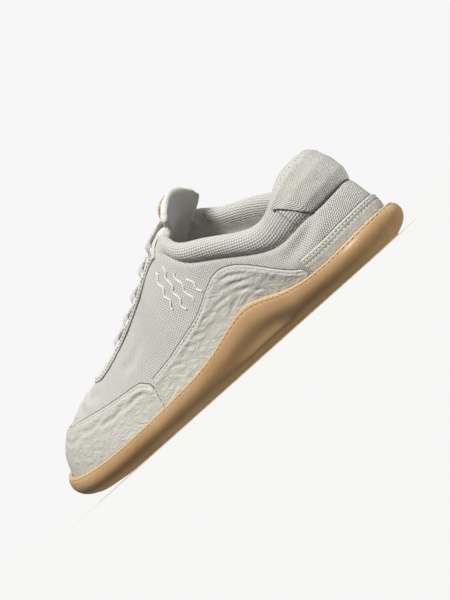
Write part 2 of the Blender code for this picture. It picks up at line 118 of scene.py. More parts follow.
# Edge of the collar and the throat, row by row beside the outline.
# along: share of LENGTH; shift: share of BALL_WIDTH towards the inner side
# collar, throat: share of COLLAR_WIDTH and THROAT_WIDTH out from the middle
# heel_up, instep_up: share of HEEL_HEIGHT and INSTEP_HEIGHT
EDGE = (
    # along, shift, collar, throat, heel_up, instep_up
    (0.076, -0.102, 0.000, 0.000, 0.925, 0.000),
    (0.081, -0.106, 0.125, 0.000, 0.920, 0.000),
    (0.098, -0.104, 0.258, 0.000, 0.890, 0.000),
    (0.132, -0.073, 0.365, 0.000, 0.810, 0.000),
    (0.185, -0.032, 0.440, 0.000, 0.745, 0.000),
    (0.246, -0.012, 0.483, 0.000, 0.400, 0.361),
    (0.310, -0.014, 0.462, 0.000, 0.000, 0.811),
    (0.366, -0.022, 0.380, 0.000, 0.000, 0.905),
    (0.400, -0.025, 0.000, 0.520, 0.000, 1.000),
    (0.474, -0.028, 0.000, 0.430, 0.000, 0.902),
    (0.552, -0.022, 0.000, 0.380, 0.000, 0.784),
    (0.628, -0.020, 0.000, 0.350, 0.000, 0.691),
    (0.697, -0.018, 0.000, 0.310, 0.000, 0.633),
    (0.728, -0.020, 0.000, 0.262, 0.000, 0.619),
    (0.743, -0.016, 0.000, 0.185, 0.000, 0.611),
    (0.750, -0.014, 0.000, 0.115, 0.000, 0.606),
    (0.753, -0.012, 0.000, 0.055, 0.000, 0.604),
    (0.754, -0.012, 0.000, 0.000, 0.000, 0.603),
)

# Section of the upper between its foot in the cup and its edge, row by row.
# wall and crown: the two inner points of a cubic curve, as shares in and up
# bulge: share of BULGE; roll: share of ROLL_DEPTH; padding: 1 padded, 0 plain
SECTION = (
    # wall_in, wall_up, crown_in, crown_up, bulge, roll, padding
    (0.06, 0.35, 0.58, 0.72, 0.50, 1.45, 1.00),
    (0.06, 0.35, 0.58, 0.72, 0.50, 1.45, 1.00),
    (0.06, 0.35, 0.56, 0.72, 0.60, 1.36, 1.00),
    (0.03, 0.35, 0.47, 0.72, 0.65, 1.08, 1.00),
    (0.00, 0.36, 0.40, 0.72, 0.60, 0.83, 1.00),
    (0.00, 0.36, 0.40, 0.76, 0.40, 0.70, 1.00),
    (0.00, 0.36, 0.40, 0.82, 0.20, 0.63, 1.00),
    (0.02, 0.36, 0.42, 0.89, 0.05, 0.55, 0.85),
    (0.05, 0.35, 0.45, 0.955, 0.00, 0.58, 0.00),
    (0.03, 0.35, 0.44, 0.97, 0.00, 0.60, 0.00),
    (0.03, 0.36, 0.44, 0.975, 0.00, 0.50, 0.00),
    (0.04, 0.38, 0.44, 0.975, 0.00, 0.45, 0.00),
    (0.02, 0.42, 0.41, 0.96, 0.00, 0.40, 0.00),
    (-0.02, 0.46, 0.32, 0.94, 0.00, 0.38, 0.00),
    (-0.05, 0.50, 0.27, 0.93, 0.00, 0.36, 0.00),
    (-0.07, 0.52, 0.24, 0.92, 0.00, 0.35, 0.00),
    (-0.07, 0.53, 0.23, 0.92, 0.00, 0.35, 0.00),
    (-0.07, 0.53, 0.23, 0.92, 0.00, 0.35, 0.00),
)

# Inset of the lip's inner edge, share of TREAD_MARGIN
LIP = 0.19

# Rim of the upper, from the crease under the roll over the top and down inside.
# depth: share of the roll; padded: share of ROLL_THICKNESS out; plain: share of WALL out
ROLL = (
    # depth, padded, plain
    (1.00, -0.08, 0.00),
    (0.80, 0.25, 0.00),
    (0.50, 0.40, 0.00),
    (0.22, 0.34, 0.00),
    (0.05, 0.12, 0.00),
    (0.00, -0.08, -0.50),
    (0.05, -0.30, -1.00),
    (0.22, -0.50, -1.00),
    (0.50, -0.58, -1.00),
    (0.85, -0.48, -1.00),
    (1.25, -0.28, -1.00),
)
ROLL_OUTER = 5
PAST_ROLL = 1.30

# Overlays, by row of the ring: high is their top, a share of the way up the upper's skin
SADDLE = (
    # row, high
    (3.86, 0.285),
    (4.20, 0.402),
    (4.60, 0.530),
    (5.00, 0.632),
    (5.35, 0.685),
    (5.75, 0.706),
    (6.10, 0.692),
    (6.50, 0.620),
    (6.95, 0.503),
    (7.45, 0.400),
    (8.00, 0.345),
    (8.70, 0.320),
    (9.66, 0.328),
)
TOE = (
    # row, high
    (9.76, 0.27),
    (9.96, 0.37),
    (10.40, 0.405),
    (11.00, 0.445),
    (11.80, 0.50),
    (12.60, 0.53),
    (13.40, 0.525),
    (14.40, 0.50),
    (15.40, 0.48),
    (16.30, 0.47),
    (17.00, 0.47),
)
FOXING_HIGH = 0.0092
FOXING_END = 3.76
TAB_STATIONS = 8
EYESTAY_TOP = 8.06
EYESTAY_TOE = 0.62
EYESTAY_NARROWS = (12.2, 14.0)

# Tongue: rows of the ring that it follows under the throat, and its free top.
# tuck: share of TONGUE_TUCK under the edges of the throat
TONGUE_FOOT = (
    # row, tuck
    (12.9, 0.30),
    (12.3, 0.75),
    (11.6, 0.90),
    (10.8, 1.00),
    (10.0, 1.00),
    (9.3, 0.90),
    (8.75, 0.60),
    (8.35, 0.25),
)
# along: share of LENGTH; up: share of INSTEP_HEIGHT; half: share of TONGUE_WIDTH
# droop: how far its edges hang, share of TONGUE_CROWN
TONGUE_TOP = (
    # along, up, half, droop
    (0.390, 1.050, 0.330, 1.00),
    (0.379, 1.090, 0.400, 1.20),
    (0.371, 1.130, 0.460, 1.30),
    (0.366, 1.165, 0.400, 1.20),
)
LACE_ROWS = (8.30, 9.00, 9.75, 10.45, 11.15)
# Rows of the ring to either side of a lace, over which its width is measured
LACE_STEP = 0.05

# The sole's rim, share of RIM_HEIGHT, over which its side starts to hollow
WAVE_START = 0.62


def spline(rows, where):
    """A smooth closed curve through the rows; where counts rows and wraps around."""
    rows = np.asarray(rows, float)
    count = len(rows)
    ahead = np.roll(rows, -1, axis=0)
    near = np.eye(count)
    system = 4.0 * near + np.roll(near, 1, axis=1) + np.roll(near, -1, axis=1)
    slope = np.linalg.solve(system, 3.0 * (ahead - np.roll(rows, 1, axis=0)))
    where = np.asarray(where, float) % count
    first = np.floor(where).astype(int) % count
    t = (where - np.floor(where))[..., None]
    second = (first + 1) % count
    return ((2 * t**3 - 3 * t**2 + 1) * rows[first] + (t**3 - 2 * t**2 + t) * slope[first]
            + (3 * t**2 - 2 * t**3) * rows[second] + (t**3 - t**2) * slope[second])


def ring(outer, inner):
    """Rows around the shoe: heel, outer side, toe, inner side."""
    return np.array(list(outer) + list(inner)[-2:0:-1], float)


def outline_ring():
    outer = [(-BALL_WIDTH * r[1], LENGTH * r[0], RIM_HEIGHT * r[3]) for r in OUTLINE]
    inner = [(BALL_WIDTH * r[2], LENGTH * r[0], RIM_HEIGHT * r[4]) for r in OUTLINE]
    return ring(outer, inner)


def edge_ring():
    sides = []
    for sign in (-1.0, 1.0):
        sides.append([(BALL_WIDTH * r[1] + sign * (COLLAR_WIDTH * r[2] + THROAT_WIDTH * r[3]),
                       LENGTH * r[0], HEEL_HEIGHT * r[4] + INSTEP_HEIGHT * r[5]) for r in EDGE])
    return ring(*sides)


TURN = 2 * (len(OUTLINE) - 1)
PLACES = np.arange(STATIONS) * TURN / STATIONS
OUTLINE_RING = outline_ring()
SAMPLED = spline(OUTLINE_RING, PLACES)
MIDDLE = np.append((SAMPLED[:, :2].min(axis=0) + SAMPLED[:, :2].max(axis=0)) / 2, 0.0)
OUTLINE_RING = OUTLINE_RING - MIDDLE
EDGE_RING = edge_ring() - MIDDLE
SECTION_RING = ring(SECTION, SECTION)


def smooth(low, high, value):
    share = np.clip((value - low) / (high - low), 0.0, 1.0)
    return share * share * (3.0 - 2.0 * share)


def unit(vectors):
    return vectors / np.linalg.norm(vectors, axis=-1, keepdims=True)


def run_length(grid, axis=0):
    """How far along one axis of a grid, or along a path, each point lies."""
    way = np.cumsum(np.linalg.norm(np.diff(grid, axis=axis), axis=-1), axis=axis)
    return np.concatenate([np.zeros_like(way.take([0], axis)), way], axis=axis)


def spring(y):
    """How far the toe lifts off the floor at a place along the shoe."""
    along = y / LENGTH + 0.5
    return TOE_SPRING * np.clip((along - SPRING_START) / (1.0 - SPRING_START), 0.0, 1.0) ** 2


def ground(x, y):
    """Underside of the sole: toe spring, heel bevel and the lift under the arch."""
    along = y / LENGTH + 0.5
    heel = HEEL_BEVEL * np.clip((BEVEL_END - along) / BEVEL_END, 0.0, 1.0) ** 2
    arch = smooth(*ARCH_RISE, along) * (1.0 - smooth(*ARCH_FALL, along))
    inner = smooth(*ARCH_SIDE, (x + MIDDLE[0]) / BALL_WIDTH)
    return spring(y) + heel + ARCH_LIFT * arch * inner


def outline(where, inset):
    """Points of the sole's outline moved in by inset, with the height of the rim."""
    where = np.asarray(where, float)
    here = spline(OUTLINE_RING, where)
    along = spline(OUTLINE_RING, where + SLOPE_STEP) - spline(OUTLINE_RING, where - SLOPE_STEP)
    out = unit(np.stack([-along[..., 1], along[..., 0]], axis=-1))
    return here[..., :2] - out * np.asarray(inset)[..., None], here[..., 2], out


CUP_INSET = LIP * TREAD_MARGIN + CUP_WALL
UPPER_INSET = CUP_INSET + SEAT + OVERLAY + GAP
INSOLE_INSET = UPPER_INSET + WALL + 2 * GAP


# Brings the peak of x * (1 - x)**2 to 1
SWELL_PEAK = 27.0 / 4.0


def skin_base(where, t):
    """The upper's outer skin before its padding, at a place on the ring and t up."""
    where, t = np.broadcast_arrays(np.asarray(where, float), np.asarray(t, float))
    foot, rim, out = outline(where, UPPER_INSET)
    low = SOLE_FLOOR + GAP + ground(foot[..., 0], foot[..., 1])
    edge = spline(EDGE_RING, where)
    lip = (rim + spring(foot[..., 1]) - low) / (edge[..., 2] - low)
    wall_in, wall_up, crown_in, crown_up, bulge = np.moveaxis(spline(SECTION_RING, where), -1, 0)[:5]
    inward = 3 * t * (1 - t)**2 * wall_in + 3 * t**2 * (1 - t) * crown_in + t**3
    upward = 3 * t * (1 - t)**2 * wall_up + 3 * t**2 * (1 - t) * crown_up + t**3
    above = np.clip((upward - lip) / (1.0 - lip), 0.0, 1.0)
    swell = BULGE * np.clip(bulge, 0.0, 1.0) * SWELL_PEAK * above * (1 - above)**2
    plan = foot + (edge[..., :2] - foot) * inward[..., None] + out * swell[..., None]
    height = low + (edge[..., 2] - low) * upward
    return np.concatenate([plan, height[..., None]], axis=-1)


STEPS = np.linspace(0.0, 1.0, SKIN_STEPS)


def skin_length(where):
    """Length of the skin from the cup to the edge, and the way along it at each step."""
    way = run_length(skin_base(np.asarray(where, float)[..., None], STEPS), 1)
    return way[..., -1], way


def normals_of(grid):
    return unit(np.cross(np.gradient(grid, axis=0), np.gradient(grid, axis=1)))


def roll_depth(where):
    return ROLL_DEPTH * spline(SECTION_RING, where)[..., 5]


def padding(where):
    return np.clip(spline(SECTION_RING, where)[..., 6], 0.0, 1.0)


def at_depth(where, depth):
    """Share of the way up the skin at a distance below its edge."""
    return 1.0 - depth / skin_length(where)[0]


def at_rim(where, extra=0.0):
    """Share of the way up the skin where it passes the sole's rim."""
    where = np.asarray(where, float)
    _, rim, _ = outline(where, 0.0)
    points = skin_rows(where, STEPS[None])[0]
    wanted = rim + spring(points[..., 0, 1]) + extra
    heights = np.maximum.accumulate(points[..., 2], axis=-1).reshape(-1, SKIN_STEPS)
    shares = [np.interp(w, h, STEPS) for w, h in zip(wanted.ravel(), heights)]
    return np.reshape(shares, where.shape)


def wave(rim):
    """0 where the rim is low, 1 at the top of its wave."""
    return smooth(WAVE_START, 1.0, rim / RIM_HEIGHT)


def cup_floor(x, y):
    return SOLE_FLOOR + ground(x, y)


def offset_grid(grid, distance):
    """The grid moved along its own normals."""
    return grid + normals_of(grid) * distance


# How finely the looks are meshed
RING_STATIONS = 560
OUTER_LEVELS = 46
INNER_LEVELS = 22
ROLL_LEVELS = 34
# Levels past the roll's crease: where canvas ends if it isn't padded, where the knit ends,
# and where the creases have faded
PLAIN_LEVELS = 18
KNIT_LEVELS = 30
FADE_LEVELS = 14

# The canvas's rows lean towards the toe as they rise, and its map turns round the heel
CLOTH_LEAN = np.radians(35.0)
HEEL_ROWS = 4.0
# It lies straight across the vamp, from one row to another, about this y, z and half width
VAMP_ROWS = (8.5, 12.0)
VAMP_AT = (0.030, 0.045, 0.080)
HEEL_SHARE = 0.4
# The knit's map runs round the collar as far as this row, and climbs by this share
COLLAR_ROWS = 12.0
KNIT_SLANT = 0.18

# Tread: its border as a share of TREAD_MARGIN, its mesh, and its pits and channels in metres
TREAD_EDGE = 0.74
TREAD_ROWS = 440
TREAD_COLUMNS = 110
TREAD_ENDS = 0.55
PIT_PITCH = 0.0065
PIT_TURN = np.radians(7.0)
PIT_RADIUS = 0.0023
PIT_MARGIN = 0.0008
PIT_REACH = 0.0034
PIT_DEPTH = 0.0012
PIT_RIM = 0.00055
RIM_SPREAD = 0.00042
CHANNEL_HALF = 0.00115
CHANNEL_REACH = 0.0062
RIB_PITCH = 0.0042
RIB_DEPTH = 0.0003
SEED = 7


def skin_rows(rows, shares, offset=0.0):
    """Points of the skin for each row at its own shares, moved out by offset, and the normals."""
    rows = np.asarray(rows, float)
    shares = np.broadcast_to(shares, (len(rows), np.shape(shares)[-1]))
    total, way = skin_length(rows)
    t = np.stack([np.interp(s * n, w, STEPS) for s, n, w in zip(shares, total, way)])
    where = rows[:, None]
    around = skin_base(where + SLOPE_STEP, t) - skin_base(where - SLOPE_STEP, t)
    upward = skin_base(where, t + SLOPE_STEP) - skin_base(where, t - SLOPE_STEP)
    normal = unit(np.cross(upward, around))
    return skin_base(where, t) + normal * np.broadcast_to(offset, t.shape)[..., None], normal


def waves(points, size, seed, count=7):
    """A soft uneven swell from -1 to 1, the same each run."""
    rng = np.random.default_rng(seed)
    total = np.zeros(points.shape[:-1])
    for _ in range(count):
        way = rng.normal(size=3)
        way *= rng.uniform(0.6, 1.5) / np.linalg.norm(way)
        total += np.sin(points @ way * 2 * np.pi / size + rng.uniform(0, 2 * np.pi))
    return total / np.sqrt(count) / 1.6


def from_heel(rows):
    """Rows of the ring counted from the heel on either side."""
    rows = np.mod(rows, TURN)
    return np.minimum(rows, TURN - rows)


def ring_way(rows, share, last):
    """Length round the ring from the heel to each row, and the y of each row."""
    fine = np.linspace(0.0, last, 240)
    path = skin_rows(fine, [share])[0][:, 0]
    return tuple(np.interp(from_heel(rows), fine, values) for values in (run_length(path), path[:, 1]))


def cloth_way(grid, rows):
    """The cloth map over rows and levels of the skin: across its threads and along them."""
    way, y = ring_way(rows, HEEL_SHARE, HEEL_ROWS)
    end, turn = (value[0] for value in ring_way(np.array([HEEL_ROWS]), HEEL_SHARE, HEEL_ROWS))
    far = grid[..., 1] + np.where(from_heel(rows) < HEEL_ROWS, turn - end + way - y, 0.0)[:, None]
    level = smooth(*VAMP_ROWS, from_heel(rows))[:, None]
    far, high = far - VAMP_AT[0], grid[..., 2] - VAMP_AT[1]
    tilt, cosine = np.sin(CLOTH_LEAN) * (1.0 - level), np.cos(CLOTH_LEAN)
    wall_way = far * tilt + run_length(grid, 1) * cosine
    vamp_way = high + VAMP_AT[2] - np.abs(grid[..., 0])
    return np.stack([far * (cosine + (1.0 - cosine) * level) - high * tilt,
                     wall_way * (1.0 - level) + vamp_way * level], axis=-1)


def curve_points(rows, shares, count=26):
    """Points on the skin along a short path of rows and shares."""
    t = np.linspace(0, len(rows) - 1, count)
    keys = np.arange(len(rows))
    row = np.interp(t, keys, rows)
    share = np.interp(t, keys, shares)
    soft = np.array([0.25, 0.5, 0.25])
    for _ in range(3):
        row[1:-1] = np.convolve(row, soft, "same")[1:-1]
        share[1:-1] = np.convolve(share, soft, "same")[1:-1]
    return skin_rows(row, share[:, None])[0][:, 0]


def nearest(points, path):
    """Distance from each point to a path, and the place along it from 0 to 1."""
    gap = np.linalg.norm(points.reshape(-1, 1, 3) - path, axis=-1)
    along = gap.argmin(axis=1) / (len(path) - 1)
    return gap.min(axis=1).reshape(points.shape[:-1]), along.reshape(points.shape[:-1])


def corners_of(grid):
    """The four corners of each cell of a grid."""
    return np.stack([grid[:-1, :-1], grid[:-1, 1:], grid[1:, 1:], grid[1:, :-1]], axis=2)


def map_of(across, along):
    """A cloth map over a grid, from its places across and along."""
    return np.stack(np.meshgrid(across, along), axis=-1)


def creased(points, creases):
    """Height of the listed creases: a soft trough with a ridge on either side."""
    height = np.zeros(points.shape[:-1])
    for rows, shares, width, depth in creases:
        gap, along = nearest(points, curve_points(rows, shares))
        fade = np.clip(4 * along * (1 - along), 0.0, 1.0) ** 0.5
        trough = np.exp(-(gap / width) ** 2)
        ridge = np.exp(-((gap - 2.1 * width) / (1.1 * width)) ** 2)
        height += depth * fade * (0.55 * ridge - trough)
    return height


class Patches:
    """Grids and other faces gathered into one mesh."""

    def __init__(self):
        self.points, self.faces, self.uvs, self.indices = [], [], [], []
        self.count = 0

    def add_points(self, points):
        """Adds the points and returns their numbers in the same grid."""
        self.points.append(np.reshape(points, (-1, 3)))
        self.count += len(self.points[-1])
        return np.arange(self.count - len(self.points[-1]), self.count).reshape(np.shape(points)[:-1])

    def cells(self, numbers, uv, index):
        """Faces from the numbers and the map at the four corners of each."""
        self.faces += numbers.reshape(-1, 4).tolist()
        self.uvs += uv.reshape(-1, 4, 2).tolist()
        self.indices += np.broadcast_to(index, numbers.shape[:2]).ravel().tolist()

    def quads(self, numbers, uv, index=0, wrap=False):
        """Faces over a grid of point numbers; uv has a column more where it wraps."""
        if wrap:
            numbers = np.concatenate([numbers, numbers[:, :1]], axis=1)
        self.cells(corners_of(numbers), corners_of(uv), index)

    def polygon(self, numbers):
        self.faces.append(numbers.tolist())
        self.uvs.append([(0.0, 0.0)] * len(numbers))
        self.indices.append(0)

    def tube(self, rings, uv):
        """A tube through rings of points, closed at both ends."""
        numbers = self.add_points(rings)
        self.quads(numbers, uv, wrap=True)
        self.polygon(numbers[0][::-1])
        self.polygon(numbers[-1])

    def object(self, name, looks, angle=60.0):
        """The shown piece, with its looks and its cloth map in metres."""
        points = np.concatenate(self.points)
        mesh = bpy.data.meshes.new(name)
        mesh.from_pydata(points.tolist(), [], self.faces)
        flat = np.array([uv for face in self.uvs for uv in face], np.float32)
        mesh.uv_layers.new(name="cloth").data.foreach_set("uv", flat.ravel())
        mesh.polygons.foreach_set("material_index", np.array(self.indices, np.int32))
        mesh.calc_loop_triangles()
        tris = np.empty(len(mesh.loop_triangles) * 3, np.int32)
        mesh.loop_triangles.foreach_get("vertices", tris)
        a, b, c = points[tris.reshape(-1, 3)].transpose(1, 0, 2)
        if np.einsum("ij,ij->i", a, np.cross(b, c)).sum() < 0:
            mesh.flip_normals()
        mesh.shade_smooth()
        mesh.set_sharp_from_angle(angle=np.radians(angle))
        for look in looks:
            mesh.materials.append(LOOKS[look])
        piece = bpy.data.objects.new(name, mesh)
        bpy.context.collection.objects.link(piece)
        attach(piece, "root")
        return piece


# Rings of a stitch: share of its length, with the lift and the size as shares of its radius
STITCH_RINGS = (
    (0.00, -0.40, 0.55),
    (0.22, 0.25, 0.95),
    (0.50, 0.45, 1.00),
    (0.78, 0.25, 0.95),
    (1.00, -0.40, 0.55),
)
STITCH_SIDES = 6
STITCH_FLAT = 0.75
CORD_SIDES = 8
# Edges sharper than this many degrees stay sharp on threads
THREAD_ANGLE = 80.0


def add_stitches(name, runs, radius, look):
    """Many short stitches: each rises out of the surface and goes back in."""
    starts, ends, normals = (np.concatenate(parts) for parts in zip(*runs))
    way = ends - starts
    side = unit(np.cross(way, normals))
    turn = np.linspace(0.0, 2 * np.pi, STITCH_SIDES, endpoint=False)[None, :, None]
    rings = []
    for share, lift, size in STITCH_RINGS:
        centre = starts + way * share + normals * (lift * radius)
        rings.append(centre[:, None] + radius * size * (np.cos(turn) * side[:, None]
                                                        + STITCH_FLAT * np.sin(turn) * normals[:, None]))
    patches = Patches()
    uv = map_of(np.arange(STITCH_SIDES + 1) * radius, np.arange(len(rings)) * 0.0006)
    for block in np.stack(rings, axis=1):
        patches.tube(block, uv)
    return patches.object(name, [look], THREAD_ANGLE)


def values_at(values, way, at):
    """The values of a path at given lengths along it."""
    return np.stack([np.interp(at, way, column) for column in values.T], axis=-1)


def stitch_run(path, normals, pitch, length):
    """Starts, ends and normals of stitches along a path."""
    way = run_length(path)
    count = max(int(way[-1] / pitch), 1)
    begin = (np.arange(count) + 0.5 * (1 - length / pitch)) * way[-1] / count
    middle = unit(values_at(normals, way, begin + length / 2))
    return values_at(path, way, begin), values_at(path, way, begin + length), middle


def add_cord(patches, path, normals, radius):
    """A round cord along a path, with closed ends."""
    side = unit(np.cross(np.gradient(path, axis=0), normals))
    turn = np.linspace(0.0, 2 * np.pi, CORD_SIDES, endpoint=False)[None, :, None]
    rings = path[:, None] + radius * (np.cos(turn) * side[:, None] + np.sin(turn) * normals[:, None])
    patches.tube(rings, map_of(np.arange(CORD_SIDES + 1) * radius, run_length(path)))


def add_node(tree, kind, inputs=(), **settings):
    """A node with its settings; each input is a constant or a link from a socket."""
    node = tree.nodes.new(kind)
    for key, value in settings.items():
        setattr(node, key, value)
    for key, value in dict(inputs).items():
        if isinstance(value, bpy.types.NodeSocket):
            tree.links.new(value, node.inputs[key])
        else:
            node.inputs[key].default_value = value
    return node


class Look:
    """A procedural material on the principled shader."""

    def __init__(self, name, roughness, **sockets):
        self.made = bpy.data.materials.new(name)
        self.made.use_nodes = True
        self.tree = self.made.node_tree
        self.shader = self.tree.nodes["Principled BSDF"]
        self.shader.inputs["Roughness"].default_value = roughness
        for key, value in sockets.items():
            self.shader.inputs[key.replace("_", " ")].default_value = value

    def node(self, kind, inputs=(), **settings):
        return add_node(self.tree, kind, inputs, **settings)

    def math(self, operation, *values):
        return self.node("ShaderNodeMath", enumerate(values), operation=operation).outputs[0]

    def add(self, first, second):
        return self.math("ADD", first, second)

    def times(self, first, second):
        return self.math("MULTIPLY", first, second)

    def place(self):
        return self.node("ShaderNodeTexCoord").outputs["Object"]

    def cloth(self):
        """The two ways of the cloth map, in metres."""
        uv = self.node("ShaderNodeUVMap", uv_map="cloth").outputs["UV"]
        parts = self.node("ShaderNodeSeparateXYZ", {"Vector": uv})
        return parts.outputs["X"], parts.outputs["Y"]

    def noise(self, scale, detail=3.0, rough=0.55, twist=0.0, stretch=(1.0, 1.0, 1.0)):
        where = self.node("ShaderNodeMapping", {"Vector": self.place(), "Scale": stretch}).outputs[0]
        inputs = {"Vector": where, "Scale": scale, "Detail": detail, "Roughness": rough, "Distortion": twist}
        return self.node("ShaderNodeTexNoise", inputs).outputs["Fac"]

    def spread(self, value, low, high, new_low=0.0, new_high=1.0):
        inputs = {"Value": value, "From Min": low, "From Max": high, "To Min": new_low, "To Max": new_high}
        return self.node("ShaderNodeMapRange", inputs).outputs["Result"]

    def shades(self, factor, dark, light):
        mix = self.node("ShaderNodeMix", {"Factor": factor}, data_type="RGBA")
        for socket, colour in (("A", dark), ("B", light)):
            found = [s for s in mix.inputs if s.name == socket and s.type == "RGBA"][0]
            if isinstance(colour, bpy.types.NodeSocket):
                self.tree.links.new(colour, found)
            else:
                found.default_value = (*colour, 1.0)
        return [s for s in mix.outputs if s.type == "RGBA"][0]

    def bump(self, height, distance):
        self.set("Normal", self.node("ShaderNodeBump", {"Height": height, "Distance": distance,
                                                        "Strength": 1.0}).outputs["Normal"])

    def set(self, socket, value):
        self.tree.links.new(value, self.shader.inputs[socket])

    def weave(self, row_pitch, stitch_pitch, slant, lean, wander, broken, sharp):
        """Rows of small stitches, with each row set half a stitch from the last."""
        along, up = self.cloth()
        rows = self.add(self.times(along, 1 / row_pitch), self.times(up, slant / row_pitch))
        rows = self.add(rows, self.times(self.noise(55.0, 2.0), wander * 4))
        part = self.math("FRACT", rows)
        ridge = self.math("SINE", self.times(part, np.pi))
        shift = self.times(self.math("FLOOR", rows), 0.5)
        phase = self.add(self.times(up, 1 / stitch_pitch), self.add(shift, self.times(part, lean)))
        stitch = self.math("MULTIPLY_ADD", self.math("SINE", self.times(phase, 2 * np.pi)), 0.5, 0.5)
        gaps = self.math("MULTIPLY_ADD", stitch, broken, 1.0 - broken)
        return self.times(self.math("POWER", ridge, sharp), gaps)


WHITE = (0.70, 0.685, 0.635)
GUM = (0.42, 0.258, 0.118)
GUM_CLOUD = (0.49, 0.31, 0.15)
# Tread: a lighter copy of the gum's cloudy tones, painted light
GUM_TREAD_LIT = ((0.47, 0.30, 0.145), (0.55, 0.365, 0.185))
# Painted highlight on the pits' raised rims
GUM_RIM_HIGHLIGHT = (0.66, 0.50, 0.30)
# Painted highlight on the lip at the top of the sole's side
GUM_LIP_HIGHLIGHT = (0.58, 0.42, 0.23)


def scaled(colour, share):
    return tuple(channel * share for channel in colour)


def cloth_look(name, colour, row_pitch, stitch_pitch, depth, dark=0.62, slant=0.0, lean=0.35, wander=0.25,
               broken=0.5, sharp=0.6):
    """Woven or knitted cloth; dark is the painted shade in the hollows between its stitches, as a share of
    its colour.
    """
    look = Look(name, 0.92, Sheen_Weight=0.15, Sheen_Roughness=0.6)
    height = look.weave(row_pitch, stitch_pitch, slant, lean, wander, broken, sharp)
    height = look.add(height, look.times(look.noise(2600.0, 2.0, 0.7), 0.25))
    base = look.shades(look.spread(look.noise(70.0, 4.0), 0.3, 0.7), scaled(colour, 0.94), colour)
    # Painted shade: the colour falls towards the dark share in the hollows between the stitches
    look.set("Base Color", look.shades(look.spread(height, 0.1, 0.85), scaled(colour, dark), base))
    look.bump(height, depth)
    return look.made


def leather_look(name, colour, wrinkle, grain, roughness):
    """Leather with soft folds over a fine grain; its colour is darker along the fold lines as painted shade
    in the creases.
    """
    look = Look(name, roughness, Sheen_Weight=0.08)
    wide = look.noise(150.0, 3.0, 0.5, 0.8, (1.0, 0.55, 1.0))
    ripple = look.noise(300.0, 4.0, 0.55, 0.6, (1.0, 0.36, 0.8))
    folds = look.spread(look.math("ABSOLUTE", look.math("SUBTRACT", ripple, 0.5)), 0.0, 0.14)
    soft = look.add(look.times(folds, 0.6), wide)
    inputs = {"Vector": look.place(), "Scale": 1300.0, "Smoothness": 0.6}
    fine = look.node("ShaderNodeTexVoronoi", inputs, feature="SMOOTH_F1").outputs["Distance"]
    tone = look.shades(look.spread(look.noise(45.0), 0.35, 0.65), scaled(colour, 0.94), colour)
    # Painted shade: the colour darkens along the fold lines, more so the deeper the wrinkle
    look.set("Base Color", look.shades(folds, scaled(colour, 1.0 - 0.13 * min(wrinkle, 1.0)), tone))
    look.set("Roughness", look.spread(folds, 0.0, 1.0, roughness + 0.1, roughness - 0.08))
    look.bump(look.add(look.times(soft, wrinkle), look.times(fine, grain)), 0.00042)
    return look.made


def gum_look():
    """Gum rubber: the map's second way is the height up the side, and below 0 the tread's relief. The tread
    is a lighter copy of the gum as painted light, and the raised pit rims and the lip are painted
    highlights.
    """
    look = Look("gum", 0.42, Subsurface_Weight=0.22, Subsurface_Radius=(0.006, 0.0028, 0.001),
                Subsurface_Scale=0.8, Coat_Weight=0.12, Coat_Roughness=0.35, IOR=1.5)
    _, up = look.cloth()
    cloudy = look.spread(look.noise(26.0, 4.0), 0.3, 0.7)
    body = look.shades(cloudy, scaled(GUM, 0.86), GUM_CLOUD)
    # Painted light: the tread gets a lighter copy of the gum, its cloudy tone kept
    body = look.shades(look.spread(up, -0.3, -0.5), body, look.shades(cloudy, *GUM_TREAD_LIT))
    # Painted highlight on the raised rims round the pits
    body = look.shades(look.spread(up, -1.04, -1.22), body, GUM_RIM_HIGHLIGHT)
    # Painted highlight on the lip at the top of the side
    look.set("Base Color", look.shades(look.spread(up, 0.90, 0.93), body, GUM_LIP_HIGHLIGHT))
    look.set("Roughness", look.spread(look.noise(120.0, 3.0), 0.3, 0.7, 0.36, 0.50))
    look.bump(look.noise(900.0, 4.0), 0.00007)
    return look.made


def plain_look(name, colour, roughness, scale=1800.0, depth=0.00012):
    look = Look(name, roughness, Sheen_Weight=0.1)
    fine = look.noise(scale, 3.0)
    look.set("Base Color", look.shades(look.spread(fine, 0.3, 0.7), scaled(colour, 0.82), colour))
    look.bump(fine, depth)
    return look.made


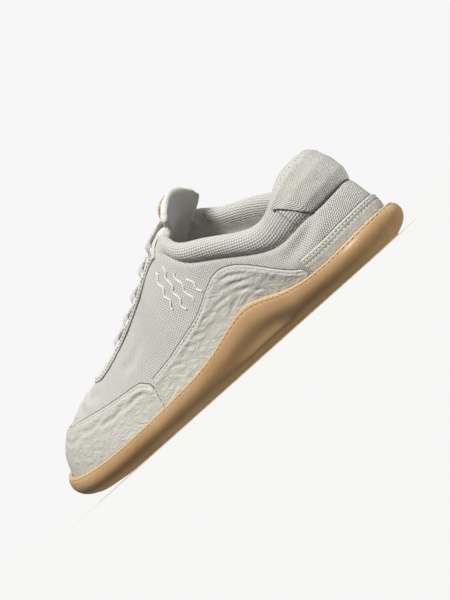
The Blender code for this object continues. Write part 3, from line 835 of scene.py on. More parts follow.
LOOKS = {
    "canvas": cloth_look("canvas", WHITE, 0.0013, 0.0013, 0.00038, 0.48, lean=0.25, wander=0.12,
                         broken=0.8, sharp=0.4),
    "knit": cloth_look("knit", scaled(WHITE, 1.05), 0.0016, 0.0016, 0.0006, 0.40, lean=0.5, wander=0.08,
                       broken=0.75, sharp=0.45),
    "lining": cloth_look("lining", scaled(WHITE, 0.90), 0.0011, 0.0011, 0.00015, 0.78),
    "fine_knit": cloth_look("fine_knit", scaled(WHITE, 0.9), 0.0011, 0.0011, 0.00025, 0.60, wander=0.10,
                            broken=0.7, sharp=0.4),
    "strip": cloth_look("strip", scaled(WHITE, 0.98), 0.0010, 0.0011, 0.00022, 0.66, wander=0.1),
    "tongue": cloth_look("tongue_canvas", scaled(WHITE, 1.02), 0.0011, 0.0013, 0.0002, 0.74),
    "lace": cloth_look("lace", (0.74, 0.73, 0.69), 0.0012, 0.0014, 0.0003, 0.60, 0.9, 0.6),
    "crinkled": leather_look("crinkled_leather", (0.565, 0.555, 0.50), 1.0, 0.22, 0.62),
    "smooth": leather_look("smooth_leather", (0.58, 0.57, 0.52), 0.35, 0.22, 0.65),
    "label": leather_look("label_leather", (0.55, 0.38, 0.21), 0.25, 0.25, 0.5),
    "gum": gum_look(),
    # Dark grey thread: its colour is painted shade standing for the shadows in the stitch holes
    "thread": plain_look("thread", (0.38, 0.37, 0.33), 0.85, 5000.0, 0.00006),
    "bright_thread": plain_look("bright_thread", (0.86, 0.85, 0.81), 0.8, 5000.0, 0.00006),
    "gum_thread": plain_look("gum_thread", (0.70, 0.55, 0.34), 0.7, 5000.0, 0.00006),
    # Dark cords along the overlays' edges: painted shadow of the gaps between the layers
    "seam": plain_look("painted_seam_shadow", (0.16, 0.155, 0.14), 0.95),
    # Near-black discs in the eyelets: painted shadow of the holes
    "painted_hole_shadow": plain_look("painted_hole_shadow", (0.05, 0.048, 0.043), 0.95),
    "footbed": cloth_look("footbed", (0.60, 0.58, 0.53), 0.0012, 0.0012, 0.0002, 0.8),
}

# Side of the sole, finer than in the source: the same line with its step rounded
FINE_SIDE = (
    # inset, up, scoop
    (0.74, 0.000, 0.00),
    (0.66, 0.030, 0.00),
    (0.56, 0.065, -0.02),
    (0.46, 0.100, -0.05),
    (0.36, 0.145, -0.08),
    (0.27, 0.195, -0.01),
    (0.19, 0.255, 0.06),
    (0.12, 0.330, 0.11),
    (0.06, 0.420, 0.09),
    (0.02, 0.510, 0.05),
    (0.00, 0.600, 0.01),
    (0.01, 0.700, 0.00),
    (0.04, 0.800, 0.00),
    (0.07, 0.860, 0.00),
    (0.10, 0.893, 0.00),
    (0.13, 0.902, 0.00),
    (0.165, 0.905, 0.00),
    (0.172, 0.925, 0.00),
    (0.170, 0.960, 0.00),
    (0.180, 0.990, 0.00),
    (0.205, 1.000, 0.00),
)
# Pits joined into winding channels: share of the width across, and of the length
MAZE_ACROSS = (0.34, 0.95)
MAZE_ALONG = (0.20, 0.60)
MAZE_SHARE = 0.28
SMOOTH_HEEL = (0.26, 0.075)


def tread_grid():
    """Rows across the tread, as places on the ring of their outer and inner ends."""
    fine = np.linspace(0.0, TURN / 2, 3001)
    inset = TREAD_MARGIN * TREAD_EDGE
    outer, inner = outline(fine, inset)[0], outline(-fine, inset)[0]
    way = run_length(outer)
    first, last = np.interp((TREAD_ENDS, TURN / 2 - TREAD_ENDS), fine, way)
    where = np.interp(np.linspace(first, last, TREAD_ROWS), way, fine)
    along = np.interp(where, fine, outer[:, 1])
    return where, -np.interp(along, np.maximum.accumulate(inner[:, 1]), fine)


def loop_at(where, row):
    inset, up, scoop = row
    _, rim, _ = outline(where, 0.0)
    plan, _, out = outline(where, TREAD_MARGIN * (inset + scoop * wave(rim)))
    base = ground(plan[:, 0], plan[:, 1]) + PIT_RIM
    return np.column_stack([plan, base + (rim + spring(plan[:, 1]) - base) * up]), out


def pit_centres(lows, highs, ys):
    """The pits' lattice, with rows across the shoe, kept inside the tread."""
    turns = PIT_TURN + np.array([0.0, np.pi / 3])
    steps = PIT_PITCH * np.stack([np.cos(turns), np.sin(turns)], axis=1)
    each = np.arange(-40, 41)
    keys = np.stack(np.meshgrid(each, each, indexing="ij"), axis=-1).reshape(-1, 2)
    at = keys[:, :1] * steps[0] + keys[:, 1:] * steps[1]
    low, high = np.interp(at[:, 1], ys, lows), np.interp(at[:, 1], ys, highs)
    margin = PIT_RADIUS + PIT_MARGIN
    inside = (at[:, 0] > low + margin) & (at[:, 0] < high - margin)
    inside &= (at[:, 1] > ys[0] + margin * 0.6) & (at[:, 1] < ys[-1] - margin * 0.6)
    across = (at[:, 0] - low) / (high - low)
    along = at[:, 1] / LENGTH + 0.5
    inside &= ~((across < SMOOTH_HEEL[0]) & (along < SMOOTH_HEEL[1]))
    return keys[inside], at[inside], across[inside], along[inside]


def within(values, limits):
    return (values > limits[0]) & (values < limits[1])


def tread_relief(x, y, lows, highs, ys):
    """Height of the tread over its ground: pits with raised rims, some joined by channels."""
    keys, at, across, along = pit_centres(lows, highs, ys)
    gap = np.full(x.shape, 1.0)

    def hexagon(px, py, centre):
        dx, dy = px - centre[0], py - centre[1]
        angle = np.arctan2(dy, dx) - PIT_TURN
        return np.hypot(dx, dy) * (1.0 + 0.05 * np.cos(6 * angle)) - PIT_RADIUS

    def channel(px, py, start, end):
        way = end - start
        t = np.clip(((px - start[0]) * way[0] + (py - start[1]) * way[1]) / (way @ way), 0.0, 1.0)
        return np.hypot(px - start[0] - t * way[0], py - start[1] - t * way[1]) - CHANNEL_HALF

    def lower(reach, measure, *ends):
        """Takes the shape's distance into the rows that it reaches."""
        middle = sum(end[1] for end in ends) / len(ends)
        first, last = np.searchsorted(ys, (middle - reach, middle + reach))
        view = slice(max(first - 1, 0), last + 1)
        gap[view] = np.minimum(gap[view], measure(x[view], y[view], *ends))

    for centre in at:
        lower(PIT_REACH, hexagon, centre)
    rng = np.random.default_rng(SEED)
    lookup = {tuple(key): number for number, key in enumerate(keys.tolist())}
    maze = within(across, MAZE_ACROSS) & within(along, MAZE_ALONG)
    for number, key in enumerate(keys.tolist()):
        for step in ((1, 0), (0, 1), (-1, 1)):
            other = lookup.get((key[0] + step[0], key[1] + step[1]))
            if rng.random() > MAZE_SHARE or other is None or not (maze[number] and maze[other]):
                continue
            lower(CHANNEL_REACH, channel, at[number], at[other])
    pit = PIT_DEPTH * smooth(0.0, 0.0012, -gap)
    rim = PIT_RIM * np.exp(-((gap - 0.0003) / RIM_SPREAD) ** 2)
    return pit - rim


def make_outsole():
    """The gum cup sole, with its tread, its side and the floor of the cup."""
    where, other = tread_grid()
    middle = np.linspace(0.0, 1.0, TREAD_COLUMNS)[1:-1]
    toe_way = where[-1] + (TURN + other[-1] - where[-1]) * middle
    heel_way = other[0] + (where[0] - other[0]) * middle
    around = np.concatenate([where, toe_way, other[::-1] + TURN, heel_way])
    loops = [loop_at(around, row)[0] for row in FINE_SIDE]
    border = loops[0][:, :2]
    rows, columns = TREAD_ROWS, TREAD_COLUMNS
    toe_end = rows + columns - 2
    outer_side, toe_side = slice(0, rows), slice(rows, toe_end)
    inner_side, heel_side = slice(toe_end, toe_end + rows), slice(toe_end + rows, None)
    left, right = border[outer_side], border[inner_side][::-1]
    share = np.linspace(0.0, 1.0, columns)[None, :, None]
    plan = left[:, None] * (1 - share) + right[:, None] * share
    plan[-1, 1:-1] = border[toe_side]
    plan[0, 1:-1] = border[heel_side][::-1]
    x, y = plan[..., 0], plan[..., 1]
    relief = tread_relief(x, y, left[:, 0], right[:, 0], left[:, 1])
    relief[0] = relief[-1] = relief[:, 0] = relief[:, -1] = 0.0
    ribs = smooth(0.026, 0.032, x) * smooth(-0.070, -0.055, y) * (1 - smooth(0.0, 0.015, y))
    relief -= RIB_DEPTH * ribs * np.maximum(np.sin(2 * np.pi * (x + 0.7 * y) / RIB_PITCH), 0.0)
    patches = Patches()
    numbers = patches.add_points(np.stack([x, y, ground(x, y) + PIT_RIM + relief], axis=-1))
    # The map's second way carries the tread's relief, which the gum look paints lighter on the tread and as
    # highlights on the raised rims
    patches.quads(numbers, np.stack([x, 0.2 * relief / PIT_RIM - 1.0], axis=-1))
    edge = np.concatenate([numbers[:, 0], numbers[-1, 1:-1], numbers[::-1, -1], numbers[0, -2:0:-1]])
    plan, rim, _ = outline(around, CUP_INSET)
    top = np.column_stack([plan, rim + spring(plan[:, 1])])
    floor = np.column_stack([plan, cup_floor(plan[:, 0], plan[:, 1])])
    walls = np.stack([edge] + [patches.add_points(loop) for loop in loops[1:] + [top, floor]])
    ups = np.array([row[1] for row in FINE_SIDE] + [1.0, 0.5])
    # The map's second way is the height up the side, which the gum look paints as a highlight at the lip
    patches.quads(walls, map_of(np.linspace(0.0, 0.7, len(around) + 1), ups), wrap=True)
    bottom = walls[-1]
    share = np.linspace(0.0, 1.0, 8)[None, 1:-1, None]
    plan = floor[outer_side, None, :2] * (1 - share) + floor[inner_side][::-1][:, None, :2] * share
    inside = patches.add_points(np.dstack([plan, cup_floor(plan[..., 0], plan[..., 1])]))
    grid = np.column_stack([bottom[outer_side], inside, bottom[inner_side][::-1]])
    patches.quads(grid[:, ::-1], np.zeros((*grid.shape, 2)))
    patches.polygon(np.concatenate([grid[-1], bottom[toe_side][::-1]]))
    patches.polygon(np.concatenate([grid[0][::-1], bottom[heel_side][::-1]]))
    piece = patches.object("outsole_gum", ["gum"])
    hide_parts("outsole")
    path, out = loop_at(np.linspace(0.0, TURN, 1400), (0.166, 0.945, 0.0))
    normals = np.column_stack([out, np.full(len(out), 0.25)])
    run = stitch_run(path, normals, 0.0036, 0.0022)
    piece = add_stitches("sole_side_stitches", [run], 0.00034, "gum_thread")


# Creases, given one by one: rows of the ring, shares up the skin, width and depth in metres
SADDLE_CREASES = (
    ((4.90, 5.15), (0.555, 0.485), 0.0009, 0.0007),
    ((4.65, 4.90), (0.505, 0.450), 0.0009, 0.0007),
    ((4.55, 4.80), (0.450, 0.400), 0.0009, 0.0006),
    ((5.30, 5.80, 6.25), (0.590, 0.620, 0.615), 0.0010, 0.0007),
    ((5.30, 5.75, 6.20), (0.520, 0.540, 0.540), 0.0010, 0.0008),
    ((5.20, 5.55, 5.90), (0.440, 0.455, 0.460), 0.0009, 0.0007),
    ((5.05, 5.25, 5.60), (0.435, 0.395, 0.425), 0.0009, 0.0008),
    ((6.15, 6.50, 6.75), (0.470, 0.460, 0.435), 0.0009, 0.0008),
    ((6.60, 6.75, 6.90), (0.390, 0.415, 0.420), 0.0008, 0.0007),
    ((6.85, 7.05, 7.20), (0.395, 0.400, 0.395), 0.0008, 0.0007),
    ((7.35, 7.55, 7.75), (0.305, 0.320, 0.320), 0.0008, 0.0007),
    ((7.95, 8.05, 8.15), (0.270, 0.285, 0.295), 0.0008, 0.0006),
    ((8.35, 8.65, 8.95), (0.225, 0.250, 0.280), 0.0008, 0.0006),
    ((6.85, 7.30, 7.90, 8.50), (0.510, 0.410, 0.335, 0.310), 0.0011, 0.0008),
    ((6.00, 6.25, 6.45), (0.420, 0.380, 0.330), 0.0009, 0.0007),
    ((5.50, 5.80, 6.00), (0.400, 0.370, 0.330), 0.0009, 0.0006),
)
TOE_CREASES = (
    ((10.1, 10.5, 11.2), (0.30, 0.33, 0.34), 0.0010, 0.0008),
    ((10.9, 11.6, 12.4), (0.38, 0.36, 0.40), 0.0012, 0.0008),
    ((12.0, 12.8, 13.6), (0.45, 0.41, 0.43), 0.0011, 0.0008),
    ((13.3, 14.2, 15.0), (0.40, 0.37, 0.40), 0.0012, 0.0006),
    ((22.4, 21.6, 21.0), (0.40, 0.36, 0.39), 0.0012, 0.0008),
    ((20.9, 20.0, 19.2), (0.44, 0.40, 0.42), 0.0011, 0.0007),
)
CANVAS_CREASES = (
    ((2.2, 3.2, 4.2), (0.55, 0.50, 0.50), 0.0030, 0.0009),
    ((9.6, 10.2, 10.9), (0.60, 0.56, 0.60), 0.0026, 0.0007),
    ((12.2, 13.2, 14.0), (0.66, 0.70, 0.84), 0.0028, 0.0010),
    ((13.0, 14.0, 15.0), (0.60, 0.64, 0.76), 0.0026, 0.0009),
    ((21.8, 20.8, 20.0), (0.66, 0.70, 0.84), 0.0028, 0.0010),
    ((21.0, 20.0, 19.0), (0.60, 0.64, 0.76), 0.0026, 0.0009),
    ((31.6, 30.6, 29.8), (0.52, 0.50, 0.52), 0.0030, 0.0009),
    ((27.0, 26.2, 25.4), (0.62, 0.60, 0.62), 0.0028, 0.0008),
    ((24.4, 23.8, 23.0), (0.58, 0.56, 0.60), 0.0026, 0.0007),
)
# Seams: the trough's width and depth, and distances of the seams from their edges
SEAM_WIDTH = 0.0008
SEAM_DEPTH = 0.00045
LEATHER_SEAM = 0.0016
FOXING_SEAMS = (0.0014, 0.0034)
# From the eyestay's outer edge, and from the throat
EYESTAY_SEAMS = (0.0012, 0.0013)
# How far past an overlay's edge its dark cord of painted shadow lies
SHADOW_LINE_GAP = 0.0003
STITCH_PITCH = 0.0026
# The heel tab's lower edge rises towards its ends, from one row to another
TAB_SLANT = 0.72
TAB_CORNER = (2.2, 3.1)
# Wavy cords on each quarter: the row that each starts on, and its shares up the skin
WAVY_CORDS = (
    (6.72, 0.595, 0.715),
    (7.12, 0.545, 0.760),
    (7.52, 0.495, 0.785),
    (7.92, 0.520, 0.765),
)
WAVY_LEAN = 0.22
WAVY_LENGTH = 0.0078
WAVY_SWING = 0.058
WAVY_RADIUS = 0.00046
STITCH_LENGTH = 0.0017
STITCH_RADIUS = 0.00030
FINE_PITCH = 0.0024
FINE_LENGTH = 0.0015
# Laces and eyelets
LACE_POINTS = 64
LACE_SIDES = 20
EYELET_RADIUS = 0.0023
HOLE_RADIUS = 0.0022


def stand_of(rows, shares):
    """How far the padded roll stands out of the skin, for rows with their own shares."""
    total = skin_length(rows)[0][:, None]
    depth = (1.0 - shares) * total / roll_depth(rows)[:, None]
    table = np.array(ROLL[ROLL_OUTER::-1] + ((PAST_ROLL, 0.0, 0.0),))
    return padding(rows)[:, None] * ROLL_THICKNESS * np.interp(depth, table[:, 0], table[:, 1])


def make_upper():
    """The hollow upper: canvas outside, knit over the padded roll, lining inside."""
    rows = np.arange(RING_STATIONS) * TURN / RING_STATIONS
    total = skin_length(rows)[0][:, None]
    roll, padded = roll_depth(rows)[:, None], padding(rows)[:, None]
    steps = np.linspace(0, len(ROLL) - 1, ROLL_LEVELS)
    table = np.array([np.interp(steps, np.arange(len(ROLL)), column) for column in np.array(ROLL).T])
    table[:, 1:-1] = (table[:, :-2] + 2 * table[:, 1:-1] + table[:, 2:]) / 4
    depth, thick, plain = table
    low = (1.0 - roll * ROLL[0][0] / total) * np.linspace(0.0, 1.0, OUTER_LEVELS + 1)[None, :-1]
    high = 1.0 - roll * depth / total
    back = (1.0 - roll * ROLL[-1][0] / total) * np.linspace(1.0, 0.0, INNER_LEVELS + 1)[None, 1:]
    shares = np.concatenate([low, high, back], axis=1)
    rolled = padded * thick * ROLL_THICKNESS + (1 - padded) * plain * WALL
    offsets = np.concatenate([np.zeros_like(low), rolled, np.full_like(back, -WALL)], axis=1)
    points, normals = skin_rows(rows, shares, offsets)
    outside = np.clip((OUTER_LEVELS + FADE_LEVELS - np.arange(shares.shape[1])) / 5.0, 0.0, 1.0)
    lift = 0.00022 * waves(points, 0.034, 3) + 0.00010 * waves(points, 0.012, 4)
    lift += creased(points, CANVAS_CREASES)
    lift -= 0.0007 * np.exp(-((shares - (1.0 - roll / total)) * total / 0.0016) ** 2) * padded
    points += normals * (lift * outside)[..., None]
    patches = Patches()
    numbers = patches.add_points(points)
    looped = np.concatenate([points, points[:1]])
    ring_rows = np.append(rows, TURN)
    rise = run_length(looped, 1)
    round_way = ring_way(ring_rows, 1.0, COLLAR_ROWS)[0][:, None]
    across = rise - rise[:, OUTER_LEVELS, None] + KNIT_SLANT * round_way
    knit = np.stack(np.broadcast_arrays(across, round_way), axis=-1)
    numbers = np.concatenate([numbers, numbers[:1]])
    numbers = np.concatenate([numbers, numbers[:, :1]], axis=1)
    last = np.array([0.0, 0.002])
    cloth, knit = (corners_of(np.concatenate([grid, grid[:, -1:] + last], axis=1).transpose(1, 0, 2))
                   for grid in (cloth_way(looped, ring_rows), knit))
    kind = np.zeros(cloth.shape[:2], int)
    kind[OUTER_LEVELS:OUTER_LEVELS + KNIT_LEVELS] = 1
    kind[OUTER_LEVELS + KNIT_LEVELS:] = 2
    plain_rows = padding(rows + TURN / RING_STATIONS / 2) < 0.42
    kind[OUTER_LEVELS:OUTER_LEVELS + PLAIN_LEVELS, plain_rows] = 0
    kind[OUTER_LEVELS + PLAIN_LEVELS:, plain_rows] = 2
    patches.cells(corners_of(numbers.T), np.where((kind == 1)[..., None, None], knit, cloth), kind)
    piece = patches.object("upper_shell", ["canvas", "knit", "lining"])
    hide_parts("upper")


def overlay_piece(name, node, slot, look, rows, low, high, creases, bulge, swell, seams=(), low_seams=(),
                  columns=26):
    """A stitched piece over the skin with soft edges, sunk along its seams."""
    total = skin_length(rows)[0][:, None]
    low, high = low[:, None], high[:, None]
    edge = 0.0009 / total
    inner = np.linspace(0.0, 1.0, columns)[None]
    top = low + edge + (high - low - 2 * edge) * inner
    back = low + (high - low) * inner[:, ::4][:, ::-1]
    shares = np.concatenate([low, low + 0.3 * edge, top, high - 0.3 * edge, high, back], axis=1)
    round_top = np.concatenate([[0.1, 0.62], np.ones(columns), [0.62, 0.1]])
    way = run_length(skin_rows(rows, high)[0][:, 0])
    to_end = np.minimum(way, way[-1] - way)[:, None]
    end = np.clip(to_end / 0.0011, 0.02, 1.0) ** 0.5
    under, normals = skin_rows(rows, shares, stand_of(rows, shares) + GAP)
    count = columns + 4
    face = under[:, :count]
    relief = 0.0001 * waves(face, 0.010, 11) + swell * waves(face, 0.0052, 12, 9)
    relief += swell * 0.8 * waves(face, 0.011, 13) + creased(face, creases)
    to_high = (high - shares[:, :count]) * total
    to_low = (shares[:, :count] - low) * total
    calm = np.clip(np.minimum(to_high, to_end) / 0.004, 0.0, 1.0)
    relief = relief * calm + bulge * np.exp(-((to_high - 0.0028) / 0.0022) ** 2)
    for distance, places in ((to_high, seams), (to_low, low_seams)):
        for seam in places:
            relief -= SEAM_DEPTH * np.exp(-((distance - seam) / SEAM_WIDTH) ** 2)
    rise = np.maximum((OVERLAY * round_top + relief * np.minimum(round_top, 1.0)) * end, 0.00004)
    under[:, :count] += normals[:, :count] * rise[..., None]
    patches = Patches()
    numbers = patches.add_points(under)
    uv = cloth_way(under, rows)
    patches.quads(numbers, np.concatenate([uv, uv[:, -1:]], axis=1), wrap=True)
    patches.polygon(numbers[0])
    patches.polygon(numbers[-1][::-1])
    piece = patches.object(name, [look])
    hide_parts(node)


def seam_runs(rows, shares_of, insets, lift=0.8, pitch=STITCH_PITCH, length=STITCH_LENGTH):
    """Rows of stitches at distances below an edge given as shares for each row."""
    runs = []
    for inset in insets:
        shares = (shares_of - inset / skin_length(rows)[0])[:, None]
        points, normals = skin_rows(rows, shares, stand_of(rows, shares) + GAP + OVERLAY * lift)
        runs.append(stitch_run(points[:, 0], normals[:, 0], pitch, length))
    return runs


def seam_shadow_cord(patches, rows, shares, radius):
    """A dark cord in the corner where an overlay's edge meets the canvas: painted shadow of the gap between
    the layers.
    """
    shares = shares[:, None]
    points, normals = skin_rows(rows, shares, stand_of(rows, shares) + 0.0002)
    add_cord(patches, points[:, 0], normals[:, 0], radius)


def dense(table, per_row=14):
    """Close rows through a table, with the value at each by a soft curve."""
    keys, values = np.array(table).T
    rows = np.linspace(keys[0], keys[-1], int((keys[-1] - keys[0]) * per_row))
    coarse = np.interp(rows, keys, values)
    half = per_row // 3
    smoothed = np.convolve(np.pad(coarse, half, "edge"), np.ones(2 * half + 1) / (2 * half + 1), "valid")
    smoothed[0], smoothed[-1] = coarse[0], coarse[-1]
    return rows, smoothed


def leather_piece(cords, name, node, kind, rows, high, creases, relief, seams, line=0.00034, columns=26,
                  **stitches):
    """A leather overlay from under the sole's rim up to high, with a dark cord of painted shadow along its
    top edge; returns its rows of stitches.
    """
    seam_shadow_cord(cords, rows, high + SHADOW_LINE_GAP / skin_length(rows)[0], line)
    overlay_piece(name, node, kind + "_leather", kind, rows, at_rim(rows, -RIM_TUCK), high, creases, *relief,
                  seams, columns=columns)
    return seam_runs(rows[2:-2], high[2:-2], seams, **stitches)


def make_overlays():
    """The leather, the heel tab and the eyestay over the upper, with their stitches and dark cords of
    painted shadow along their edges.
    """
    runs, cords = [], Patches()
    rows, high = dense(SADDLE)
    for name, side in (("outer", 1.0), ("inner", -1.0)):
        creases = [(tuple(side * r for r in c[0]), *c[1:]) for c in SADDLE_CREASES]
        runs += leather_piece(cords, "saddle_%s_leather" % name, "saddle_" + name, "crinkled", side * rows,
                              high, creases, (0.0004, 0.00012), (LEATHER_SEAM,))
    rows, high = dense(TOE)
    rows, high = np.append(rows, (TURN - rows)[-2::-1]), np.append(high, high[-2::-1])
    runs += leather_piece(cords, "toe_leather", "toe_overlay", "crinkled", rows, high, TOE_CREASES,
                          (0.0004, 0.00010), (LEATHER_SEAM,), columns=30)
    rows = np.linspace(-FOXING_END, FOXING_END, 170)
    high = at_rim(rows, FOXING_HIGH)
    runs += leather_piece(cords, "heel_foxing_leather", "heel_foxing", "smooth", rows, high, (),
                          (0.0002, 0.00005), FOXING_SEAMS, 0.00026, pitch=FINE_PITCH, length=FINE_LENGTH)
    reach = TAB_STATIONS * TURN / STATIONS
    rows = np.linspace(-reach, reach, 130)
    total, roll = skin_length(rows)[0], roll_depth(rows)
    low, high = 1.0 - roll * ROLL[0][0] / total, 1.0 - roll * ROLL[ROLL_OUTER - 1][0] / total
    low = low + (high - low) * TAB_SLANT * smooth(*TAB_CORNER, np.abs(rows))
    # Dark cord along the tab's lower edge: painted shadow
    seam_shadow_cord(cords, rows, low - SHADOW_LINE_GAP / total, 0.00034)
    far, up = reach * np.array([0.95, 0.62, 0.3]), low[-1] + np.array([0.05, 0.015, 0.03])
    creases = [(far, up, 0.0011, 0.0008), (-far, up + low[0] - low[-1], 0.0011, 0.0008)]
    overlay_piece("heel_tab_knit", "heel_tab", "smooth_knit", "fine_knit", rows, low, high, creases,
                  0.0003, 0.00006, columns=34)
    for side in (rows[3], rows[-4]):
        row = np.full(40, side)
        shares = (1.0 - roll_depth(row) * (1.0 - np.linspace(0.08, 0.96, 40)) / skin_length(row)[0])[:, None]
        points, normals = skin_rows(row, shares, stand_of(row, shares) + GAP + OVERLAY * 1.02)
        runs.append(stitch_run(points[:, 0], normals[:, 0], FINE_PITCH, FINE_LENGTH))
    runs += seam_runs(rows[6:-6], high[6:-6], (0.0022,), lift=1.1)
    rows = np.linspace(EYESTAY_TOP, TURN - EYESTAY_TOP, 330)
    width = EYESTAY_WIDTH * (1.0 + (EYESTAY_TOE - 1.0) * smooth(*EYESTAY_NARROWS, from_heel(rows)))
    low, high = at_depth(rows, EYESTAY_EDGE + width), at_depth(rows, EYESTAY_EDGE)
    # Dark cord along the eyestay's outer edge: painted shadow
    seam_shadow_cord(cords, rows, at_depth(rows, EYESTAY_EDGE + width + SHADOW_LINE_GAP), 0.00045)
    overlay_piece("eyestay_strip", "eyestay", "canvas_strip", "strip", rows, low, high, (), 0.00025, 0.00005,
                  (EYESTAY_SEAMS[1],), (EYESTAY_SEAMS[0],), columns=20)
    runs += seam_runs(rows[3:-3], low[3:-3], (-EYESTAY_SEAMS[0],))
    runs += seam_runs(rows[3:-3], high[3:-3], (EYESTAY_SEAMS[1],))
    piece = add_stitches("seam_stitches", runs, STITCH_RADIUS, "thread")
    # The dark cords are painted shadow in the gaps at the overlays' edges
    cords.object("painted_seam_shadows", ["seam"], THREAD_ANGLE)


def make_motif():
    """Parallel wavy cords of bright thread, raised on each quarter."""
    cords = Patches()
    t = np.linspace(0.0, 1.0, 120)
    for side in (1.0, -1.0):
        for start, low, high in WAVY_CORDS:
            share = low + (high - low) * t
            turns = (share - WAVY_CORDS[0][1]) * skin_length(np.array([start]))[0] / WAVY_LENGTH
            row = side * (start + WAVY_LEAN * t + WAVY_SWING * np.sin(2 * np.pi * turns))
            points, normals = skin_rows(row, share[:, None], 0.0002)
            add_cord(cords, points[:, 0], normals[:, 0], WAVY_RADIUS)
    cords.object("quarter_wavy_stitches", ["bright_thread"], THREAD_ANGLE)


def soft_curve(points, count):
    """A smooth open curve through a few points, at even steps along it."""
    points = np.asarray(points, float)
    padded = np.concatenate([2 * points[:1] - points[1:2], points, 2 * points[-1:] - points[-2:-1]])
    t = np.linspace(0, len(points) - 1 - 1e-9, 12 * len(points))
    k = np.floor(t).astype(int)
    f = (t - k)[:, None]
    p0, p1, p2, p3 = (padded[k + step] for step in range(4))
    fine = 0.5 * (2 * p1 + (p2 - p0) * f + (2 * p0 - 5 * p1 + 4 * p2 - p3) * f**2
                  + (3 * p1 - p0 - 3 * p2 + p3) * f**3)
    way = run_length(fine)
    return values_at(fine, way, np.linspace(0.0, way[-1], count))


def across_throat(row, reach, offset, crown):
    """Points from the outer eyestay over the throat to the inner one."""
    depths = np.array([1.0, 0.5, 0.0]) * reach
    rows = np.array([row, -row])
    points, _ = skin_rows(rows, 1.0 - depths[None] / skin_length(rows)[0][:, None], offset)
    outer, inner = points[0], points[1][::-1]
    share = np.array([0.25, 0.5, 0.75])[:, None]
    middle = outer[-1] + (inner[0] - outer[-1]) * share
    middle[:, 2:] += crown * 4 * share * (1 - share)
    return np.concatenate([outer, middle, inner])


def tongue_grid():
    """Rows of the tongue's top, from its foot under the throat to its free edge."""
    under = -(WALL + 2 * GAP)
    rows = [across_throat(row, tuck * TONGUE_TUCK, under, TONGUE_CROWN) for row, tuck in TONGUE_FOOT]
    shift = BALL_WIDTH * EDGE[7][1] - MIDDLE[0]
    side = np.linspace(-1.0, 1.0, len(rows[0]))
    for along, up, half, droop in TONGUE_TOP:
        z = INSTEP_HEIGHT * up - TONGUE_CROWN * droop * side**2
        y = np.full_like(side, LENGTH * along - MIDDLE[1])
        rows.append(np.column_stack([shift + TONGUE_WIDTH * half * side, y, z]))
    return np.array(rows)


def border_of(grid):
    """The points round a grid."""
    return np.concatenate([grid[0, :-1], grid[:-1, -1], grid[-1, :0:-1], grid[:0:-1, 0]])


def fine_grid(grid, down, side):
    """The grid refined by smooth curves both ways."""
    rows = np.stack([soft_curve(row, side) for row in grid])
    return soft_curve(rows.reshape(len(rows), -1), down).reshape(down, side, 3)


def slab(name, top, bottom, looks):
    """A closed piece between two grids, with a rounded border; its underside has the last look."""
    patches = Patches()
    numbers, other = patches.add_points(top), patches.add_points(bottom)
    uv = np.stack([run_length(top, 0), run_length(top, 1)], axis=-1)
    patches.quads(numbers, uv)
    patches.quads(other[:, ::-1], uv[:, ::-1], len(looks) - 1)
    border = [border_of(numbers)]
    upper, lower = border_of(top), border_of(bottom)
    out = upper - border_of(np.pad(top[1:-1, 1:-1], ((1, 1), (1, 1), (0, 0)), "edge"))
    out /= np.maximum(np.linalg.norm(out, axis=1, keepdims=True), 1e-9)
    thick = np.linalg.norm(upper - lower, axis=1, keepdims=True)
    for share in (0.25, 0.5, 0.75):
        bulge = np.sqrt(1 - (2 * share - 1) ** 2) * 0.4
        border.append(patches.add_points(upper + (lower - upper) * share + out * thick * bulge))
    border.append(border_of(other))
    uv = map_of(np.linspace(0, 0.2, len(upper) + 1), np.linspace(0, 0.004, len(border)))
    patches.quads(np.stack(border)[::-1], uv, wrap=True)
    return patches.object(name, looks)


def make_tongue():
    """The padded tongue, with its label and their stitches."""
    coarse = tongue_grid()
    grid = fine_grid(coarse, 120, 60)
    side = np.linspace(-1.0, 1.0, 60)[None]
    down = np.linspace(0.0, 1.0, 120)[:, None]
    free = smooth(0.70, 0.80, down)
    plump = free * np.clip(1 - side**2, 0, 1) ** 0.5 * np.clip((1 - down) / 0.05, 0, 1) ** 0.5
    lift = 0.0006 * plump + free * (0.00025 * waves(grid, 0.02, 21) + 0.0002 * np.cos(side * np.pi * 3))
    normal = normals_of(grid)
    top = grid + normal * np.minimum(lift, 0.0007)[..., None]
    bottom = grid - normal * (TONGUE + 0.0007 * plump + 0.0003 * waves(grid, 0.018, 22) * free)[..., None]
    piece = slab("tongue_padded", top, bottom, ["tongue", "lining"])
    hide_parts("tongue")
    patch = fine_grid(coarse[-4:], 40, 50)[:, 3:-3]
    under = offset_grid(patch, GAP)
    down, side = (np.minimum(np.arange(n), np.arange(n)[::-1]) for n in patch.shape[:2])
    corner = np.minimum(down[:, None], side[None])
    over = under + (offset_grid(patch, GAP + LABEL) - under) * np.clip(corner / 2.0, 0.35, 1.0)[..., None]
    piece = slab("tongue_label_leather", over, under, ["label"])
    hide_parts("tongue_label")
    normals = border_of(normals_of(patch)[3:-3, 3:-3])
    run = stitch_run(border_of(over[3:-3, 3:-3]) + normals * 0.0001, normals, 0.0022, 0.0015)
    piece = add_stitches("label_stitches", [run], 0.00028, "thread")
    normal = normals_of(top)
    seams = [(slice(84, 116), 4), (slice(84, 116), 55), (115, slice(5, 55))]
    runs = [stitch_run(top[at], normal[at], 0.0026, 0.0016) for at in seams]
    piece = add_stitches("tongue_stitches", runs, 0.00028, "thread")


